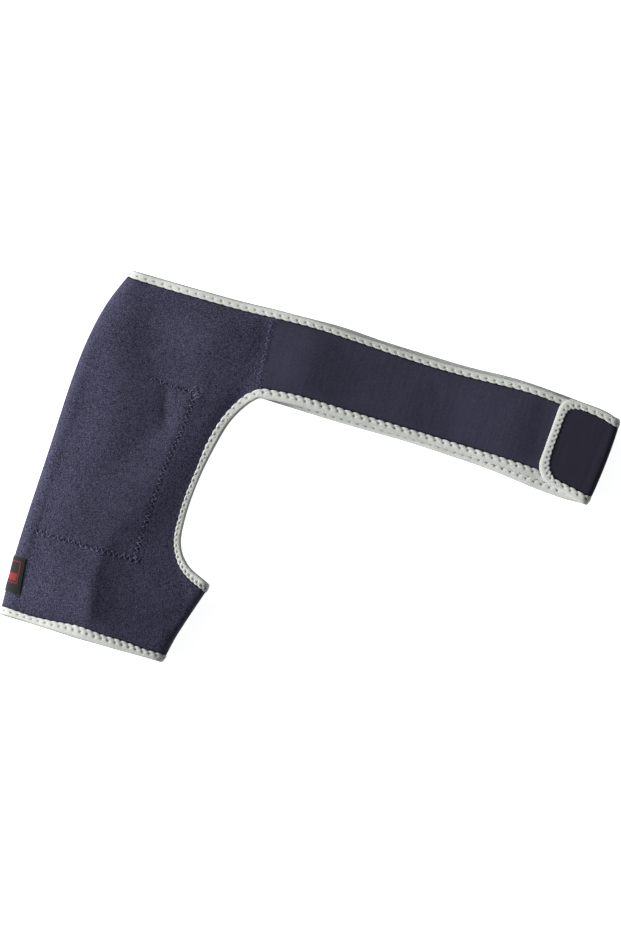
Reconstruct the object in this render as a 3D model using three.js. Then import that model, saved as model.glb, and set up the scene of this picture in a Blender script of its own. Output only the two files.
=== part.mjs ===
// A neoprene shoulder wrap, lying folded flat on its back with its strap fastened.
//
// The body panel is one sheet that folds round the outer arm and under the arm, so that its lower end
// is a sleeve. A front strap and a back strap are sewn to it. The back strap folds forward at its end
// into a tab, which a hook patch holds on the front strap. Grey tape binds every cut edge.
//
// Millimetres, +Z up. The plan is drawn from above, from the neck's outer corner: +X along the strap,
// +Y from the hem to the neck. Every panel is a grid of points on its middle surface, thickened to the
// sheet's gauge.
import * as THREE from "three";

// Gauges and clearances
const FOAM = 3.2; // thickness of the panels
const TAPE = 0.9; // thickness of the binding tape
const TAPE_WIDTH = 8.6; // how far the tape reaches in from a cut edge
const GAP = 0.3; // clearance between pieces that are sewn or pressed together
const LABEL = 1.0; // thickness of the woven label

// Half the thickness of a bound edge, and how far the tape stands out past the cut edge
const BOUND_HALF = FOAM / 2 + GAP + TAPE;
const NOSE = GAP + TAPE;

// Heights of the middle surfaces above the floor
const FLOOR_SHEET = FOAM / 2; // the back sheet where it lies flat
const FLOOR_EDGE = BOUND_HALF + GAP; // the back sheet at its bound edges, with the tape just off the floor
const FOLD_HEIGHT = 11; // the two sleeve folds
const STRAP_END_HEIGHT = 9.4; // the front strap under the tab
const TAB_HEIGHT = STRAP_END_HEIGHT + 2 * BOUND_HALF + GAP; // the tab on top of it

// Plan of the body panel: its corners, and the points that its curved edges and folds pass through
const NECK_CORNER = [2.2, 1.3];
const SEAM_TOP = [153.3, 5.9];
const SEAM_FOOT = [158.9, -80];
const UNDERARM_CORNER = [162.3, -277];
const HEM_INNER = [139.7, -362.3];
const HEM_OUTER = [-26.4, -362.3];
const OUTER_FOLD = [HEM_OUTER, [-28.6, -300], [-26.3, -200], [-23.1, -99], [-18, -60], [-11.3, -33], NECK_CORNER];
const UNDERARM_FOLD = [HEM_INNER, [144.6, -336.5], [152, -309.8], UNDERARM_CORNER];
const UNDERARM = [
  SEAM_FOOT,
  [150.1, -89.8],
  [136.9, -112.5],
  [128.8, -143],
  [122.6, -185],
  [121.2, -218],
  [124.5, -246],
  [137.3, -264.5],
  UNDERARM_CORNER,
];

const neckLength = distance(NECK_CORNER, SEAM_TOP);
const seamLength = distance(SEAM_TOP, SEAM_FOOT);
const seamFootAt = neckLength + seamLength;
const underarmCurve = planCurve(UNDERARM);
const underarmLength = underarmCurve.getLength();
const edgeLength = seamFootAt + underarmLength;
const hemLength = distance(HEM_OUTER, HEM_INNER);

// Lines that run up the body panel, from the hem to the shaped edge, from the outer fold round to the
// underarm fold. hem and edge: where each line meets them, in millimetres from the outer fold. waistX and
// waistY: the place half way that it passes. cells: as far as the next line.
const FOLD_RUN = 12; // width of the rounded strip beside each sleeve fold
const BODY_LINES = [
  { line: "outer fold", hem: FOLD_RUN, waistX: -2, waistY: -180, edge: FOLD_RUN, cells: 2 },
  { line: "outer slope", hem: 46, waistX: 34, waistY: -184, edge: 56, cells: 2 },
  { line: "ridge", hem: 86, waistX: 64, waistY: -180, edge: 109, cells: 2 },
  { line: "seam top", hem: 95, waistX: 74.5, waistY: -176, edge: neckLength, cells: 3 },
  { line: "seam foot", hem: 104, waistX: 85.5, waistY: -166, edge: seamFootAt, cells: 2 },
  { line: "underarm head", hem: 108, waistX: 90, waistY: -160, edge: seamFootAt + 22, cells: 3 },
  { line: "underarm top", hem: 114, waistX: 96, waistY: -184, edge: seamFootAt + 60, cells: 4 },
  { line: "underarm side", hem: 129, waistX: 105, waistY: -288, edge: seamFootAt + 150, cells: 3 },
  { line: "underarm low", hem: 145, waistX: 119, waistY: -308, edge: edgeLength - 38, cells: 2 },
  {
    line: "underarm fold",
    hem: hemLength - FOLD_RUN,
    waistX: 138,
    waistY: -316,
    edge: edgeLength - FOLD_RUN,
    cells: 0,
  },
];
const FOLD_CELLS = 4; // across the rounded strip
const FAN_RUN = 45; // over this distance from a fold, the rows turn square to the edge
const BOW_RUN = 70; // over this distance from a fold, the lines straighten
const BODY_CELLS = 11; // along the arm, between the two bindings

// Sections across the front sheet, from the hem to the neck: where it starts, peaks and ends along X, and
// its heights there. It is a low roof with a soft ridge.
const BODY_SECTIONS = [
  { y: -363, outer: -26, ridge: 60, inner: 140, outerHigh: 20, crown: 36, innerHigh: 20 },
  { y: -272, outer: -29, ridge: 60, inner: 155, outerHigh: 20, crown: 35, innerHigh: 19 },
  { y: -205, outer: -26, ridge: 78, inner: 122, outerHigh: 20, crown: 33, innerHigh: 19 },
  { y: -134, outer: -24, ridge: 98, inner: 131, outerHigh: 20, crown: 30.5, innerHigh: 20 },
  { y: -80, outer: -20, ridge: 106, inner: 159, outerHigh: 19.5, crown: 28.5, innerHigh: 19.6 },
  { y: 6, outer: 2, ridge: 112, inner: 153.5, outerHigh: 18, crown: 25.5, innerHigh: 19.6 },
];
const RIDGE_ROUND = 0.16; // softness of the ridge, as a share of the slope's run

// Sections across the straps, from the seam outwards: the two ends of each in plan, their height, how far
// the middle sags below the edges, and the cells as far as the next section
const FLOOR_SAG = FLOOR_EDGE - FLOOR_SHEET;
const FRONT_STRAP = [
  { upper: [153.8, 5.9], lower: [159.4, -80], high: 19.6, sag: 0, cells: 2 },
  { upper: [195, 6.6], lower: [197, -77.6], high: 19.2, sag: 0, cells: 3 },
  { upper: [240, 5.2], lower: [242, -77.4], high: 15, sag: 0, cells: 3 },
  { upper: [300, 3.2], lower: [301, -77.6], high: 11.2, sag: 0, cells: 4 },
  { upper: [400, 6.8], lower: [399, -78.4], high: 10.6, sag: 0, cells: 3 },
  { upper: [440, 5.2], lower: [437, -79.6], high: STRAP_END_HEIGHT, sag: 0, cells: 2 },
  { upper: [492, 0], lower: [487, -83], high: STRAP_END_HEIGHT, sag: 0, cells: 0 },
];
const BACK_STRAP = [
  { upper: [153.8, 5.9], lower: [159.4, -80], high: FLOOR_EDGE, sag: 0, cells: 3 },
  { upper: [215, 7.4], lower: [215, -81.2], high: FLOOR_EDGE, sag: FLOOR_SAG, cells: 4 },
  { upper: [310, 5.8], lower: [310, -81.2], high: FLOOR_EDGE, sag: FLOOR_SAG, cells: 4 },
  { upper: [400, 8.6], lower: [397, -83.6], high: FLOOR_EDGE, sag: FLOOR_SAG, cells: 3 },
  { upper: [450, 6], lower: [445, -88.3], high: FLOOR_EDGE, sag: FLOOR_SAG, cells: 2 },
  { upper: [484, 2.2], lower: [478, -90.6], high: FLOOR_EDGE, sag: FLOOR_SAG, cells: 0 },
];
const STRAP_FOLD = { upper: [509.4, -3.2], lower: [502.6, -89.6] }; // outermost line of the folded strap
const TAB_END = { upper: [449.8, 2.8], lower: [445.6, -78.4] }; // before its corners are rounded
const TAB_CORNER = 15; // corner radius of the tab's end
const STRAP_CELLS = 6; // across a strap, between its two bindings
const FOLD_STEPS = 8; // round the strap's fold
const TAB_STEPS = 3; // along the straight part of the tab
const CORNER_STEPS = 5; // round each corner of the tab

// Hook patch and label
const HOOK_INSET = 14; // from the tab's long edges
const HOOK_LENGTH = 30; // along the tab
const LABEL_SPAN = { fromHem: 23, toHem: 59, front: 15, back: 5 }; // on the sleeve, round its outer fold

const NAVY_JERSEY = new THREE.MeshStandardMaterial({ color: 0x3f4058, roughness: 0.95, metalness: 0 });
const NAVY_STRAP = new THREE.MeshStandardMaterial({ color: 0x363748, roughness: 0.9, metalness: 0 });
const GREY_TAPE = new THREE.MeshStandardMaterial({ color: 0xc6c8c3, roughness: 0.9, metalness: 0 });
const BLACK_HOOK = new THREE.MeshStandardMaterial({ color: 0x1c1c22, roughness: 0.85, metalness: 0 });
const BLACK_LABEL = new THREE.MeshStandardMaterial({ color: 0x1f1a1e, roughness: 0.8, metalness: 0 });

// Small helpers for plans and tables

function distance(a, b) {
  return Math.hypot(b[0] - a[0], b[1] - a[1]);
}

function planCurve(points) {
  const spots = points.map(([x, y]) => new THREE.Vector3(x, y, 0));
  return new THREE.CatmullRomCurve3(spots, false, "centripetal");
}

function between(a, b, share) {
  return new THREE.Vector3(a[0] + (b[0] - a[0]) * share, a[1] + (b[1] - a[1]) * share, 0);
}

// Value of one column of a table, read smoothly at a row number with a fraction
function smoothly(table, column, row) {
  const last = table.length - 1;
  const start = Math.min(Math.floor(row), last - 1);
  const value = (index) => table[Math.min(Math.max(index, 0), last)][column];
  const [before, from, to, after] = [-1, 0, 1, 2].map((step) => value(start + step));
  const t = row - start;
  const bend = (2 * before - 5 * from + 4 * to - after) * t * t + (3 * from - before - 3 * to + after) * t ** 3;
  return from + ((to - before) * t + bend) / 2;
}

// Row numbers of a table, with each row's cells in between
function rowNumbers(table) {
  const numbers = table.flatMap(({ cells }, row) => Array.from({ length: cells }, (_, i) => row + i / cells));
  return [...numbers, table.length - 1];
}

// Whole numbers from one to another, counting up or down
function span(from, to) {
  return Array.from({ length: Math.abs(to - from) + 1 }, (_, i) => from + Math.sign(to - from) * i);
}

// Panels as grids of middle-surface points, grid[row][column]

function gridNormals(grid, loop) {
  const columns = grid[0].length;
  return grid.map((row, r) =>
    row.map((_, c) => {
      const left = row[loop ? (c + columns - 1) % columns : Math.max(c - 1, 0)];
      const right = row[loop ? (c + 1) % columns : Math.min(c + 1, columns - 1)];
      const below = grid[Math.max(r - 1, 0)][c];
      const above = grid[Math.min(r + 1, grid.length - 1)][c];
      const across = right.clone().sub(left);
      return across.cross(above.clone().sub(below)).normalize();
    }),
  );
}

function solidFrom(vertices, faces) {
  const geometry = new THREE.BufferGeometry();
  geometry.setAttribute("position", new THREE.Float32BufferAttribute(vertices.flatMap((v) => v.toArray()), 3));
  geometry.setIndex(faces.flat());
  geometry.computeVertexNormals();
  return turnedOut(geometry);
}

// The same solid with its faces pointing out
function turnedOut(geometry) {
  const position = geometry.getAttribute("position");
  const index = geometry.getIndex();
  const corner = (i) => new THREE.Vector3().fromBufferAttribute(position, index.getX(i));
  let volume = 0;
  for (let i = 0; i < index.count; i += 3) {
    volume += corner(i).dot(corner(i + 1).cross(corner(i + 2)));
  }
  for (let i = 0; i < index.count && volume < 0; i += 3) {
    const second = index.getX(i + 1);
    index.setX(i + 1, index.getX(i + 2));
    index.setX(i + 2, second);
  }
  return geometry;
}

// Closed sheet of one thickness on a grid. A looped grid joins its last column to its first.
function sheetSolid(grid, normals, thickness, loop = false) {
  const rows = grid.length;
  const columns = grid[0].length;
  const at = (r, c, side) => side * rows * columns + r * columns + (c % columns);
  const side = (sign) =>
    grid.flatMap((row, r) => row.map((p, c) => p.clone().addScaledVector(normals[r][c], (sign * thickness) / 2)));
  const faces = [];
  const quad = (a, b, c, d) => faces.push([a, b, c], [a, c, d]);
  const lastCell = loop ? columns : columns - 1;
  for (let c = 0; c < lastCell; c++) {
    for (let r = 0; r < rows - 1; r++) {
      quad(at(r, c, 0), at(r, c + 1, 0), at(r + 1, c + 1, 0), at(r + 1, c, 0));
      quad(at(r, c, 1), at(r + 1, c, 1), at(r + 1, c + 1, 1), at(r, c + 1, 1));
    }
    quad(at(0, c, 0), at(0, c, 1), at(0, c + 1, 1), at(0, c + 1, 0));
    quad(at(rows - 1, c, 0), at(rows - 1, c + 1, 0), at(rows - 1, c + 1, 1), at(rows - 1, c, 1));
  }
  for (let r = 0; r < rows - 1 && !loop; r++) {
    quad(at(r, 0, 0), at(r + 1, 0, 0), at(r + 1, 0, 1), at(r, 0, 1));
    quad(at(r, columns - 1, 0), at(r, columns - 1, 1), at(r + 1, columns - 1, 1), at(r + 1, columns - 1, 0));
  }
  return solidFrom([...side(1), ...side(-1)], faces);
}

// A place on a cut edge that the tape wraps: the edge, the point that the tape reaches in to, and the
// sheet's outward normal at both
function tapeStation(grid, normals, [row, column], [innerRow, innerColumn]) {
  return {
    edge: grid[row][column],
    inner: grid[innerRow][innerColumn],
    edgeNormal: normals[row][column],
    innerNormal: normals[innerRow][innerColumn],
  };
}

// Tape folded over a cut edge: a U-shaped section swept through the stations
const SLOT = FOAM / 2 + GAP;
const TAPE_SECTION = [
  { end: "inner", out: 0, rise: BOUND_HALF },
  { end: "edge", out: 0, rise: BOUND_HALF },
  { end: "edge", out: 0.8 * NOSE, rise: 0.65 * BOUND_HALF },
  { end: "edge", out: NOSE, rise: 0 },
  { end: "edge", out: 0.8 * NOSE, rise: -0.65 * BOUND_HALF },
  { end: "edge", out: 0, rise: -BOUND_HALF },
  { end: "inner", out: 0, rise: -BOUND_HALF },
  { end: "inner", out: 0, rise: -SLOT },
  { end: "edge", out: GAP, rise: -SLOT },
  { end: "edge", out: GAP, rise: SLOT },
  { end: "inner", out: 0, rise: SLOT },
];

function tapeSolid(stations, loop = false) {
  const sides = TAPE_SECTION.length;
  const vertices = stations.flatMap((station) => {
    const outward = station.edge.clone().sub(station.inner).normalize();
    return TAPE_SECTION.map(({ end, out, rise }) =>
      station[end].clone().addScaledVector(outward, out).addScaledVector(station[`${end}Normal`], rise),
    );
  });
  const faces = [];
  const steps = loop ? stations.length : stations.length - 1;
  for (let step = 0; step < steps; step++) {
    const here = step * sides;
    const next = ((step + 1) % stations.length) * sides;
    for (let i = 0; i < sides; i++) {
      const j = (i + 1) % sides;
      faces.push([here + i, next + i, next + j], [here + i, next + j, here + j]);
    }
  }
  if (!loop) {
    const flat = ({ end, out, rise }) => new THREE.Vector2(end === "inner" ? -TAPE_WIDTH : out, rise);
    const far = (stations.length - 1) * sides;
    for (const [a, b, c] of endTriangles(TAPE_SECTION.map(flat))) {
      faces.push([a, b, c], [far + a, far + c, far + b]);
    }
  }
  return solidFrom(vertices, faces);
}

// Triangles of a flat end, each wound the same way as its outline
function endTriangles(outline) {
  const clockwise = THREE.ShapeUtils.isClockWise(outline);
  const isClockwise = (corners) => THREE.ShapeUtils.area(corners.map((i) => outline[i])) < 0;
  const triangles = THREE.ShapeUtils.triangulateShape(outline, []);
  return triangles.map(([a, b, c]) => (isClockwise([a, b, c]) === clockwise ? [a, b, c] : [a, c, b]));
}

// Body panel

// Point of the shaped edge, at a distance along it from the neck corner
function shapedEdge(along) {
  if (along <= neckLength) return between(NECK_CORNER, SEAM_TOP, along / neckLength);
  if (along <= seamFootAt) return between(SEAM_TOP, SEAM_FOOT, (along - neckLength) / seamLength);
  return underarmCurve.getPointAt(Math.min((along - seamFootAt) / underarmLength, 1));
}

// Direction into the panel, square to the shaped edge between two distances along it
function squareIn(from, to) {
  const along = shapedEdge(to).sub(shapedEdge(from)).normalize();
  return new THREE.Vector3(along.y, -along.x, 0);
}

const outerFold = planCurve(OUTER_FOLD);
const underarmFold = planCurve(UNDERARM_FOLD);
const hemUp = new THREE.Vector3(0, 1, 0);

// Step from an edge to the tape's inner side: along the fold beside a fold, and square to the edge elsewhere
function stepIn(square, alongFold, fromFold) {
  const direction = alongFold.clone().lerp(square, Math.min(fromFold / FAN_RUN, 1));
  return direction.multiplyScalar(TAPE_WIDTH / direction.dot(square));
}

function edgeStep(along) {
  const reach = 0.5;
  if (Math.abs(along - neckLength) < reach || Math.abs(along - seamFootAt) < reach) {
    const both = squareIn(along - 2 * reach, along - reach).add(squareIn(along + reach, along + 2 * reach));
    return both.multiplyScalar(TAPE_WIDTH);
  }
  const square = squareIn(Math.max(along - reach, 0), Math.min(along + reach, edgeLength));
  if (along < edgeLength / 2) return stepIn(square, outerFold.getTangentAt(1).negate(), along);
  return stepIn(square, underarmFold.getTangentAt(1).negate(), edgeLength - along);
}

function hemStep(along) {
  if (along < hemLength / 2) return stepIn(hemUp, outerFold.getTangentAt(0), along);
  return stepIn(hemUp, underarmFold.getTangentAt(0), hemLength - along);
}

// Lines up the panel: the table's, with closer ones in the rounded strip beside each fold.
// roll is 0 on a fold, where the front and back sheets meet, and 1 where they lie apart.
function bodyLines() {
  const table = rowNumbers(BODY_LINES).map((row) => ({
    hem: smoothly(BODY_LINES, "hem", row),
    edge: smoothly(BODY_LINES, "edge", row),
    waistX: smoothly(BODY_LINES, "waistX", row),
    waistY: smoothly(BODY_LINES, "waistY", row),
    roll: 1,
  }));
  const strip = span(0, FOLD_CELLS - 1).map((i) => {
    const turn = ((i / FOLD_CELLS) * Math.PI) / 2;
    return { run: FOLD_RUN * (1 - Math.cos(turn)), roll: Math.sin(turn) };
  });
  const first = strip.map(({ run, roll }) => ({ hem: run, edge: run, roll }));
  const last = strip.map(({ run, roll }) => ({ hem: hemLength - run, edge: edgeLength - run, roll }));
  return [...first, ...table, ...last.reverse()];
}

// The way up one line between the two tapes, straight beside a fold
function linePath(line) {
  const start = between(HEM_OUTER, HEM_INNER, line.hem / hemLength).add(hemStep(line.hem));
  const end = shapedEdge(line.edge).add(edgeStep(line.edge));
  const middle = start.clone().lerp(end, 0.5);
  const waist = line.roll < 1 ? middle : new THREE.Vector3(line.waistX, line.waistY, 0);
  return new THREE.CatmullRomCurve3([start, waist, end], false, "centripetal");
}

// How far a fold bows out of the path of its own line, at a share of its length
function foldBow(fold, line) {
  const path = linePath(line);
  const from = TAPE_WIDTH / fold.getLength();
  return (share) => fold.getPointAt(from + (1 - 2 * from) * share).sub(path.getPointAt(share));
}

// Height of the front sheet over a place in the plan
function frontHeight(x, y) {
  const rows = BODY_SECTIONS;
  const clamped = Math.min(Math.max(y, rows[0].y), rows.at(-1).y);
  const above = Math.max(rows.findIndex((row) => row.y >= clamped), 1);
  const row = above - 1 + (clamped - rows[above - 1].y) / (rows[above].y - rows[above - 1].y);
  const read = (column) => smoothly(rows, column, row);
  const ridge = read("ridge");
  const crown = read("crown");
  const [side, sideHigh] = x < ridge ? [read("outer"), read("outerHigh")] : [read("inner"), read("innerHigh")];
  const share = Math.min((x - ridge) / (side - ridge), 1.1);
  const drop = (Math.hypot(share, RIDGE_ROUND) - RIDGE_ROUND) / (Math.hypot(1, RIDGE_ROUND) - RIDGE_ROUND);
  return crown - (crown - sideHigh) * drop;
}

// Points up one line, from the hem to the shaped edge, on the front or the back sheet
function bodyColumn(line, front) {
  const path = linePath(line);
  const nearness = (run) => Math.min(Math.max(1 - (run - FOLD_RUN) / BOW_RUN, 0), 1);
  const points = span(0, BODY_CELLS).map((i) => {
    const share = i / BODY_CELLS;
    return path
      .getPointAt(share)
      .addScaledVector(outerBow(share), nearness(line.hem))
      .addScaledVector(underarmBow(share), nearness(hemLength - line.hem));
  });
  points.unshift(between(HEM_OUTER, HEM_INNER, line.hem / hemLength));
  points.push(shapedEdge(line.edge));
  points.forEach((point, row) => {
    const backHigh = row < 2 || row > BODY_CELLS ? FLOOR_EDGE : FLOOR_SHEET;
    const sheetHigh = front ? frontHeight(point.x, point.y) : backHigh;
    point.z = FOLD_HEIGHT + (sheetHigh - FOLD_HEIGHT) * line.roll;
  });
  return points;
}

const lines = bodyLines();
const outerBow = foldBow(outerFold, lines[0]);
const underarmBow = foldBow(underarmFold, lines.at(-1));
const bodyColumns = [
  ...lines.map((line) => bodyColumn(line, true)),
  ...lines.slice(1, -1).map((line) => bodyColumn(line, false)).reverse(),
];
const bodyGrid = bodyColumns[0].map((_, row) => bodyColumns.map((column) => column[row]));
const bodyNormals = gridNormals(bodyGrid, true);

// Straps: rows run along the strap, columns from its lower edge to its upper edge

function strapRow(lower, upper, sag) {
  const inset = TAPE_WIDTH / upper.distanceTo(lower);
  const middle = span(0, STRAP_CELLS).map((i) => inset + ((1 - 2 * inset) * i) / STRAP_CELLS);
  const shares = [0, ...middle, 1];
  return shares.map((share, column) => {
    const point = lower.clone().lerp(upper, share);
    if (column > 1 && column < shares.length - 2) point.z -= sag;
    return point;
  });
}

function strapRows(table) {
  const flat = table.map(({ upper, lower, high, sag }) => ({
    upperX: upper[0],
    upperY: upper[1],
    lowerX: lower[0],
    lowerY: lower[1],
    high,
    sag,
  }));
  return rowNumbers(table).map((row) => {
    const read = (column) => smoothly(flat, column, row);
    const lower = new THREE.Vector3(read("lowerX"), read("lowerY"), read("high"));
    const upper = new THREE.Vector3(read("upperX"), read("upperY"), read("high"));
    return strapRow(lower, upper, Math.min(read("sag"), FLOOR_SAG));
  });
}

const frontStrap = strapRows(FRONT_STRAP);
const frontNormals = gridNormals(frontStrap, false).map((row) => row.map((normal) => normal.negate()));

// The folded end of the back strap, and the tab
const foldRadius = (TAB_HEIGHT - FLOOR_EDGE) / 2;
const foldOut = new THREE.Vector3(
  STRAP_FOLD.upper[1] - STRAP_FOLD.lower[1],
  STRAP_FOLD.lower[0] - STRAP_FOLD.upper[0],
  0,
).normalize();

function foldRow(turn) {
  const spot = ([x, y]) => {
    const outermost = new THREE.Vector3(x, y, FLOOR_EDGE + foldRadius * (1 - Math.cos(turn)));
    return outermost.addScaledVector(foldOut, foldRadius * (Math.sin(turn) - 1));
  };
  return strapRow(spot(STRAP_FOLD.lower), spot(STRAP_FOLD.upper), 0);
}

// Rows of the tab, from the fold to its end, narrowing round the two corners
function tabRows() {
  const start = foldRow(Math.PI);
  const spot = ([x, y]) => new THREE.Vector3(x, y, TAB_HEIGHT);
  const [endLower, endUpper] = [spot(TAB_END.lower), spot(TAB_END.upper)];
  const straight = 1 - TAB_CORNER / start[0].distanceTo(endLower);
  const plain = span(1, TAB_STEPS).map((i) => ({ share: (straight * i) / TAB_STEPS, inset: 0 }));
  const round = span(1, CORNER_STEPS).map((i) => {
    const turn = ((i / CORNER_STEPS) * Math.PI) / 2;
    const share = straight + (1 - straight) * Math.sin(turn);
    return { share, inset: TAB_CORNER * (1 - Math.cos(turn)) };
  });
  return [...plain, ...round].map(({ share, inset }) => {
    const lower = start[0].clone().lerp(endLower, share);
    const upper = start.at(-1).clone().lerp(endUpper, share);
    const up = upper.clone().sub(lower).normalize();
    return strapRow(lower.addScaledVector(up, inset), upper.addScaledVector(up, -inset), 0);
  });
}

const foldRows = span(0, FOLD_STEPS).map((i) => foldRow((i / FOLD_STEPS) * Math.PI));
const backStrap = [...strapRows(BACK_STRAP), ...foldRows, ...tabRows()];
const backNormals = gridNormals(backStrap, false);

// Bindings

const lastRow = bodyGrid.length - 1;
const halfColumns = lines.length;
const columnAt = (along) => lines.findIndex(({ edge }) => Math.abs(edge - along) < 1e-6);
const seamTopColumn = columnAt(neckLength);
const seamFootColumn = columnAt(seamFootAt);
const backColumn = (column) => (2 * halfColumns - 2 - column) % bodyColumns.length;
const bodyStation = (column) => tapeStation(bodyGrid, bodyNormals, [lastRow, column], [lastRow - 1, column]);

function strapStations(grid, normals, edgeColumn, rows) {
  const innerColumn = edgeColumn === 0 ? 1 : edgeColumn - 1;
  return rows.map((row) => tapeStation(grid, normals, [row, edgeColumn], [row, innerColumn]));
}

// Stations round the tab's end, on its level, square to its rounded outline
function tabStations() {
  const corner = span(backStrap.length - CORNER_STEPS, backStrap.length - 1);
  const outline = [
    ...corner.map((row) => backStrap[row].at(-1)),
    ...backStrap.at(-1).slice(1, -1).reverse(),
    ...corner.reverse().map((row) => backStrap[row][0]),
  ];
  const up = new THREE.Vector3(0, 0, 1);
  return outline.map((edge, i) => {
    const before = outline[Math.max(i - 1, 0)];
    const after = outline[Math.min(i + 1, outline.length - 1)];
    const inward = up.clone().cross(after.clone().sub(before)).normalize();
    const inner = edge.clone().addScaledVector(inward, TAPE_WIDTH);
    return { edge, inner, edgeNormal: up, innerNormal: up };
  });
}

// One tape round the shaped edge, from the front strap's upper end to its lower end
function edgeStations() {
  const top = STRAP_CELLS + 2;
  const frontRows = span(0, frontStrap.length - 1);
  const backRows = span(0, backStrap.length - CORNER_STEPS - 1);
  return [
    ...strapStations(frontStrap, frontNormals, top, [...frontRows].reverse()),
    ...span(seamTopColumn - 1, 0).map(bodyStation),
    ...span(1, seamTopColumn - 1).map(backColumn).map(bodyStation),
    ...strapStations(backStrap, backNormals, top, backRows),
    ...tabStations(),
    ...strapStations(backStrap, backNormals, 0, [...backRows].reverse()),
    ...span(seamFootColumn + 1, halfColumns - 1).map(backColumn).map(bodyStation),
    ...span(halfColumns - 2, seamFootColumn + 1).map(bodyStation),
    ...strapStations(frontStrap, frontNormals, 0, frontRows),
  ];
}

const hemStations = bodyColumns.map((_, column) => tapeStation(bodyGrid, bodyNormals, [0, column], [1, column]));

// Hook patch: a plate between the front strap and the tab, inset from the tab's outline
function hookPatch() {
  const bottom = STRAP_END_HEIGHT + FOAM / 2 + GAP;
  const top = TAB_HEIGHT - FOAM / 2 - GAP;
  const row = backStrap.at(-1 - CORNER_STEPS);
  const across = row.at(-1).clone().sub(row[0]).normalize();
  const near = [row[0].clone().addScaledVector(across, HOOK_INSET), row.at(-1).clone().addScaledVector(across, -HOOK_INSET)];
  const far = near.map((corner) => corner.clone().addScaledVector(foldOut, HOOK_LENGTH)).reverse();
  const outline = [...near, ...far];
  const levels = [bottom, top].map((z) => outline.map(({ x, y }) => new THREE.Vector3(x, y, z)));
  const sides = [0, 1, 2, 3].flatMap((i) => {
    const j = (i + 1) % 4;
    return [[i, j, j + 4], [i, j + 4, i + 4]];
  });
  return solidFrom(levels.flat(), [[0, 2, 1], [0, 3, 2], [4, 5, 6], [4, 6, 7], ...sides]);
}

// Label: a patch on the sleeve, wrapped round the outer fold
function labelGrid() {
  const cellLength = (outerFold.getLength() - 2 * TAPE_WIDTH) / BODY_CELLS;
  const rowOf = (fromHem) => 1 + (fromHem - TAPE_WIDTH) / cellLength;
  const [bottomRow, topRow] = [rowOf(LABEL_SPAN.fromHem), rowOf(LABEL_SPAN.toHem)];
  const columnOf = (run) => {
    const next = lines.findIndex(({ hem }) => hem > run);
    return next - 1 + (run - lines[next - 1].hem) / (lines[next].hem - lines[next - 1].hem);
  };
  const backEnd = columnOf(LABEL_SPAN.back);
  const frontEnd = columnOf(LABEL_SPAN.front);
  const columns = [-backEnd, ...span(-Math.floor(backEnd), Math.floor(frontEnd)), frontEnd];
  const lift = FOAM / 2 + GAP + LABEL / 2;
  return [bottomRow, Math.ceil(bottomRow), topRow].map((row) => columns.map((column) => onBody(row, column, lift)));
}

// Point above the body panel at a row and column number with fractions
function onBody(row, column, lift) {
  const [r, c] = [Math.floor(row), Math.floor(column)];
  const wrapped = (n) => (n + bodyColumns.length) % bodyColumns.length;
  const spot = (i, j) => bodyGrid[i][wrapped(j)].clone().addScaledVector(bodyNormals[i][wrapped(j)], lift);
  const low = spot(r, c).lerp(spot(r, c + 1), column - c);
  const high = spot(r + 1, c).lerp(spot(r + 1, c + 1), column - c);
  return low.lerp(high, row - r);
}

const label = labelGrid();

// Assembly, with the origin at the bottom centre of its box

function piece(name, geometry, material) {
  const mesh = new THREE.Mesh(geometry, material);
  mesh.name = name;
  return mesh;
}

const wrap = new THREE.Group();
wrap.add(
  piece("body_panel", sheetSolid(bodyGrid, bodyNormals, FOAM, true), NAVY_JERSEY),
  piece("front_strap", sheetSolid(frontStrap, frontNormals, FOAM), NAVY_STRAP),
  piece("back_strap", sheetSolid(backStrap, backNormals, FOAM), NAVY_STRAP),
  piece("hook_patch", hookPatch(), BLACK_HOOK),
  piece("edge_binding", tapeSolid(edgeStations()), GREY_TAPE),
  piece("hem_binding", tapeSolid(hemStations, true), GREY_TAPE),
  piece("label", sheetSolid(label, gridNormals(label, false), LABEL), BLACK_LABEL),
);

const box = new THREE.Box3().setFromObject(wrap, true);
const centre = box.getCenter(new THREE.Vector3());
wrap.children.forEach((mesh) => mesh.position.set(-centre.x, -centre.y, -box.min.z));

export default wrap;
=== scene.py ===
"""Looks of a padded shoulder wrap that lies folded flat on its back, with its strap fastened.

The panels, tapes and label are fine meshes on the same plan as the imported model. The plan is in
millimetres, from the neck's outer corner: X along the strap, Y from the hem to the neck, Z up.
"""
import math

import bpy
import numpy as np
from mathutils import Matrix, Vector
from mathutils.bvhtree import BVHTree


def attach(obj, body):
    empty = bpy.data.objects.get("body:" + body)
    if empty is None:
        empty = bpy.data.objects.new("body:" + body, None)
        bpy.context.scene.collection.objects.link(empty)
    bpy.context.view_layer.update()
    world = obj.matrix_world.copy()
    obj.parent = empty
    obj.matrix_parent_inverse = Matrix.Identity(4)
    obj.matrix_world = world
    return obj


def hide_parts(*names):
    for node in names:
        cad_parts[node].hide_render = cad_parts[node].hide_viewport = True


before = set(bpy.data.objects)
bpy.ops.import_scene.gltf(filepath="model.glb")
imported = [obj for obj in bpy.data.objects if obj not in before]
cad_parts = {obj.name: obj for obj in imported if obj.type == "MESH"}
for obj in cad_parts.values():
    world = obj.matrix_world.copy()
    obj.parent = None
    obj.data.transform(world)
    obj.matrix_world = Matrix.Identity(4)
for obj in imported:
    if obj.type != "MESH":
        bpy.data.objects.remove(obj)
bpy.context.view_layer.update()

MILLIMETRE = 0.001
PLAN_ORIGIN = np.array([-240.445, 176.884, 0.0])  # the neck's outer corner in the frame
BODY = "root"


def named_rows(columns, *rows):
    """Rows of a table, with each value under its column's name."""
    return [dict(zip(columns, row)) for row in rows]


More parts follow.
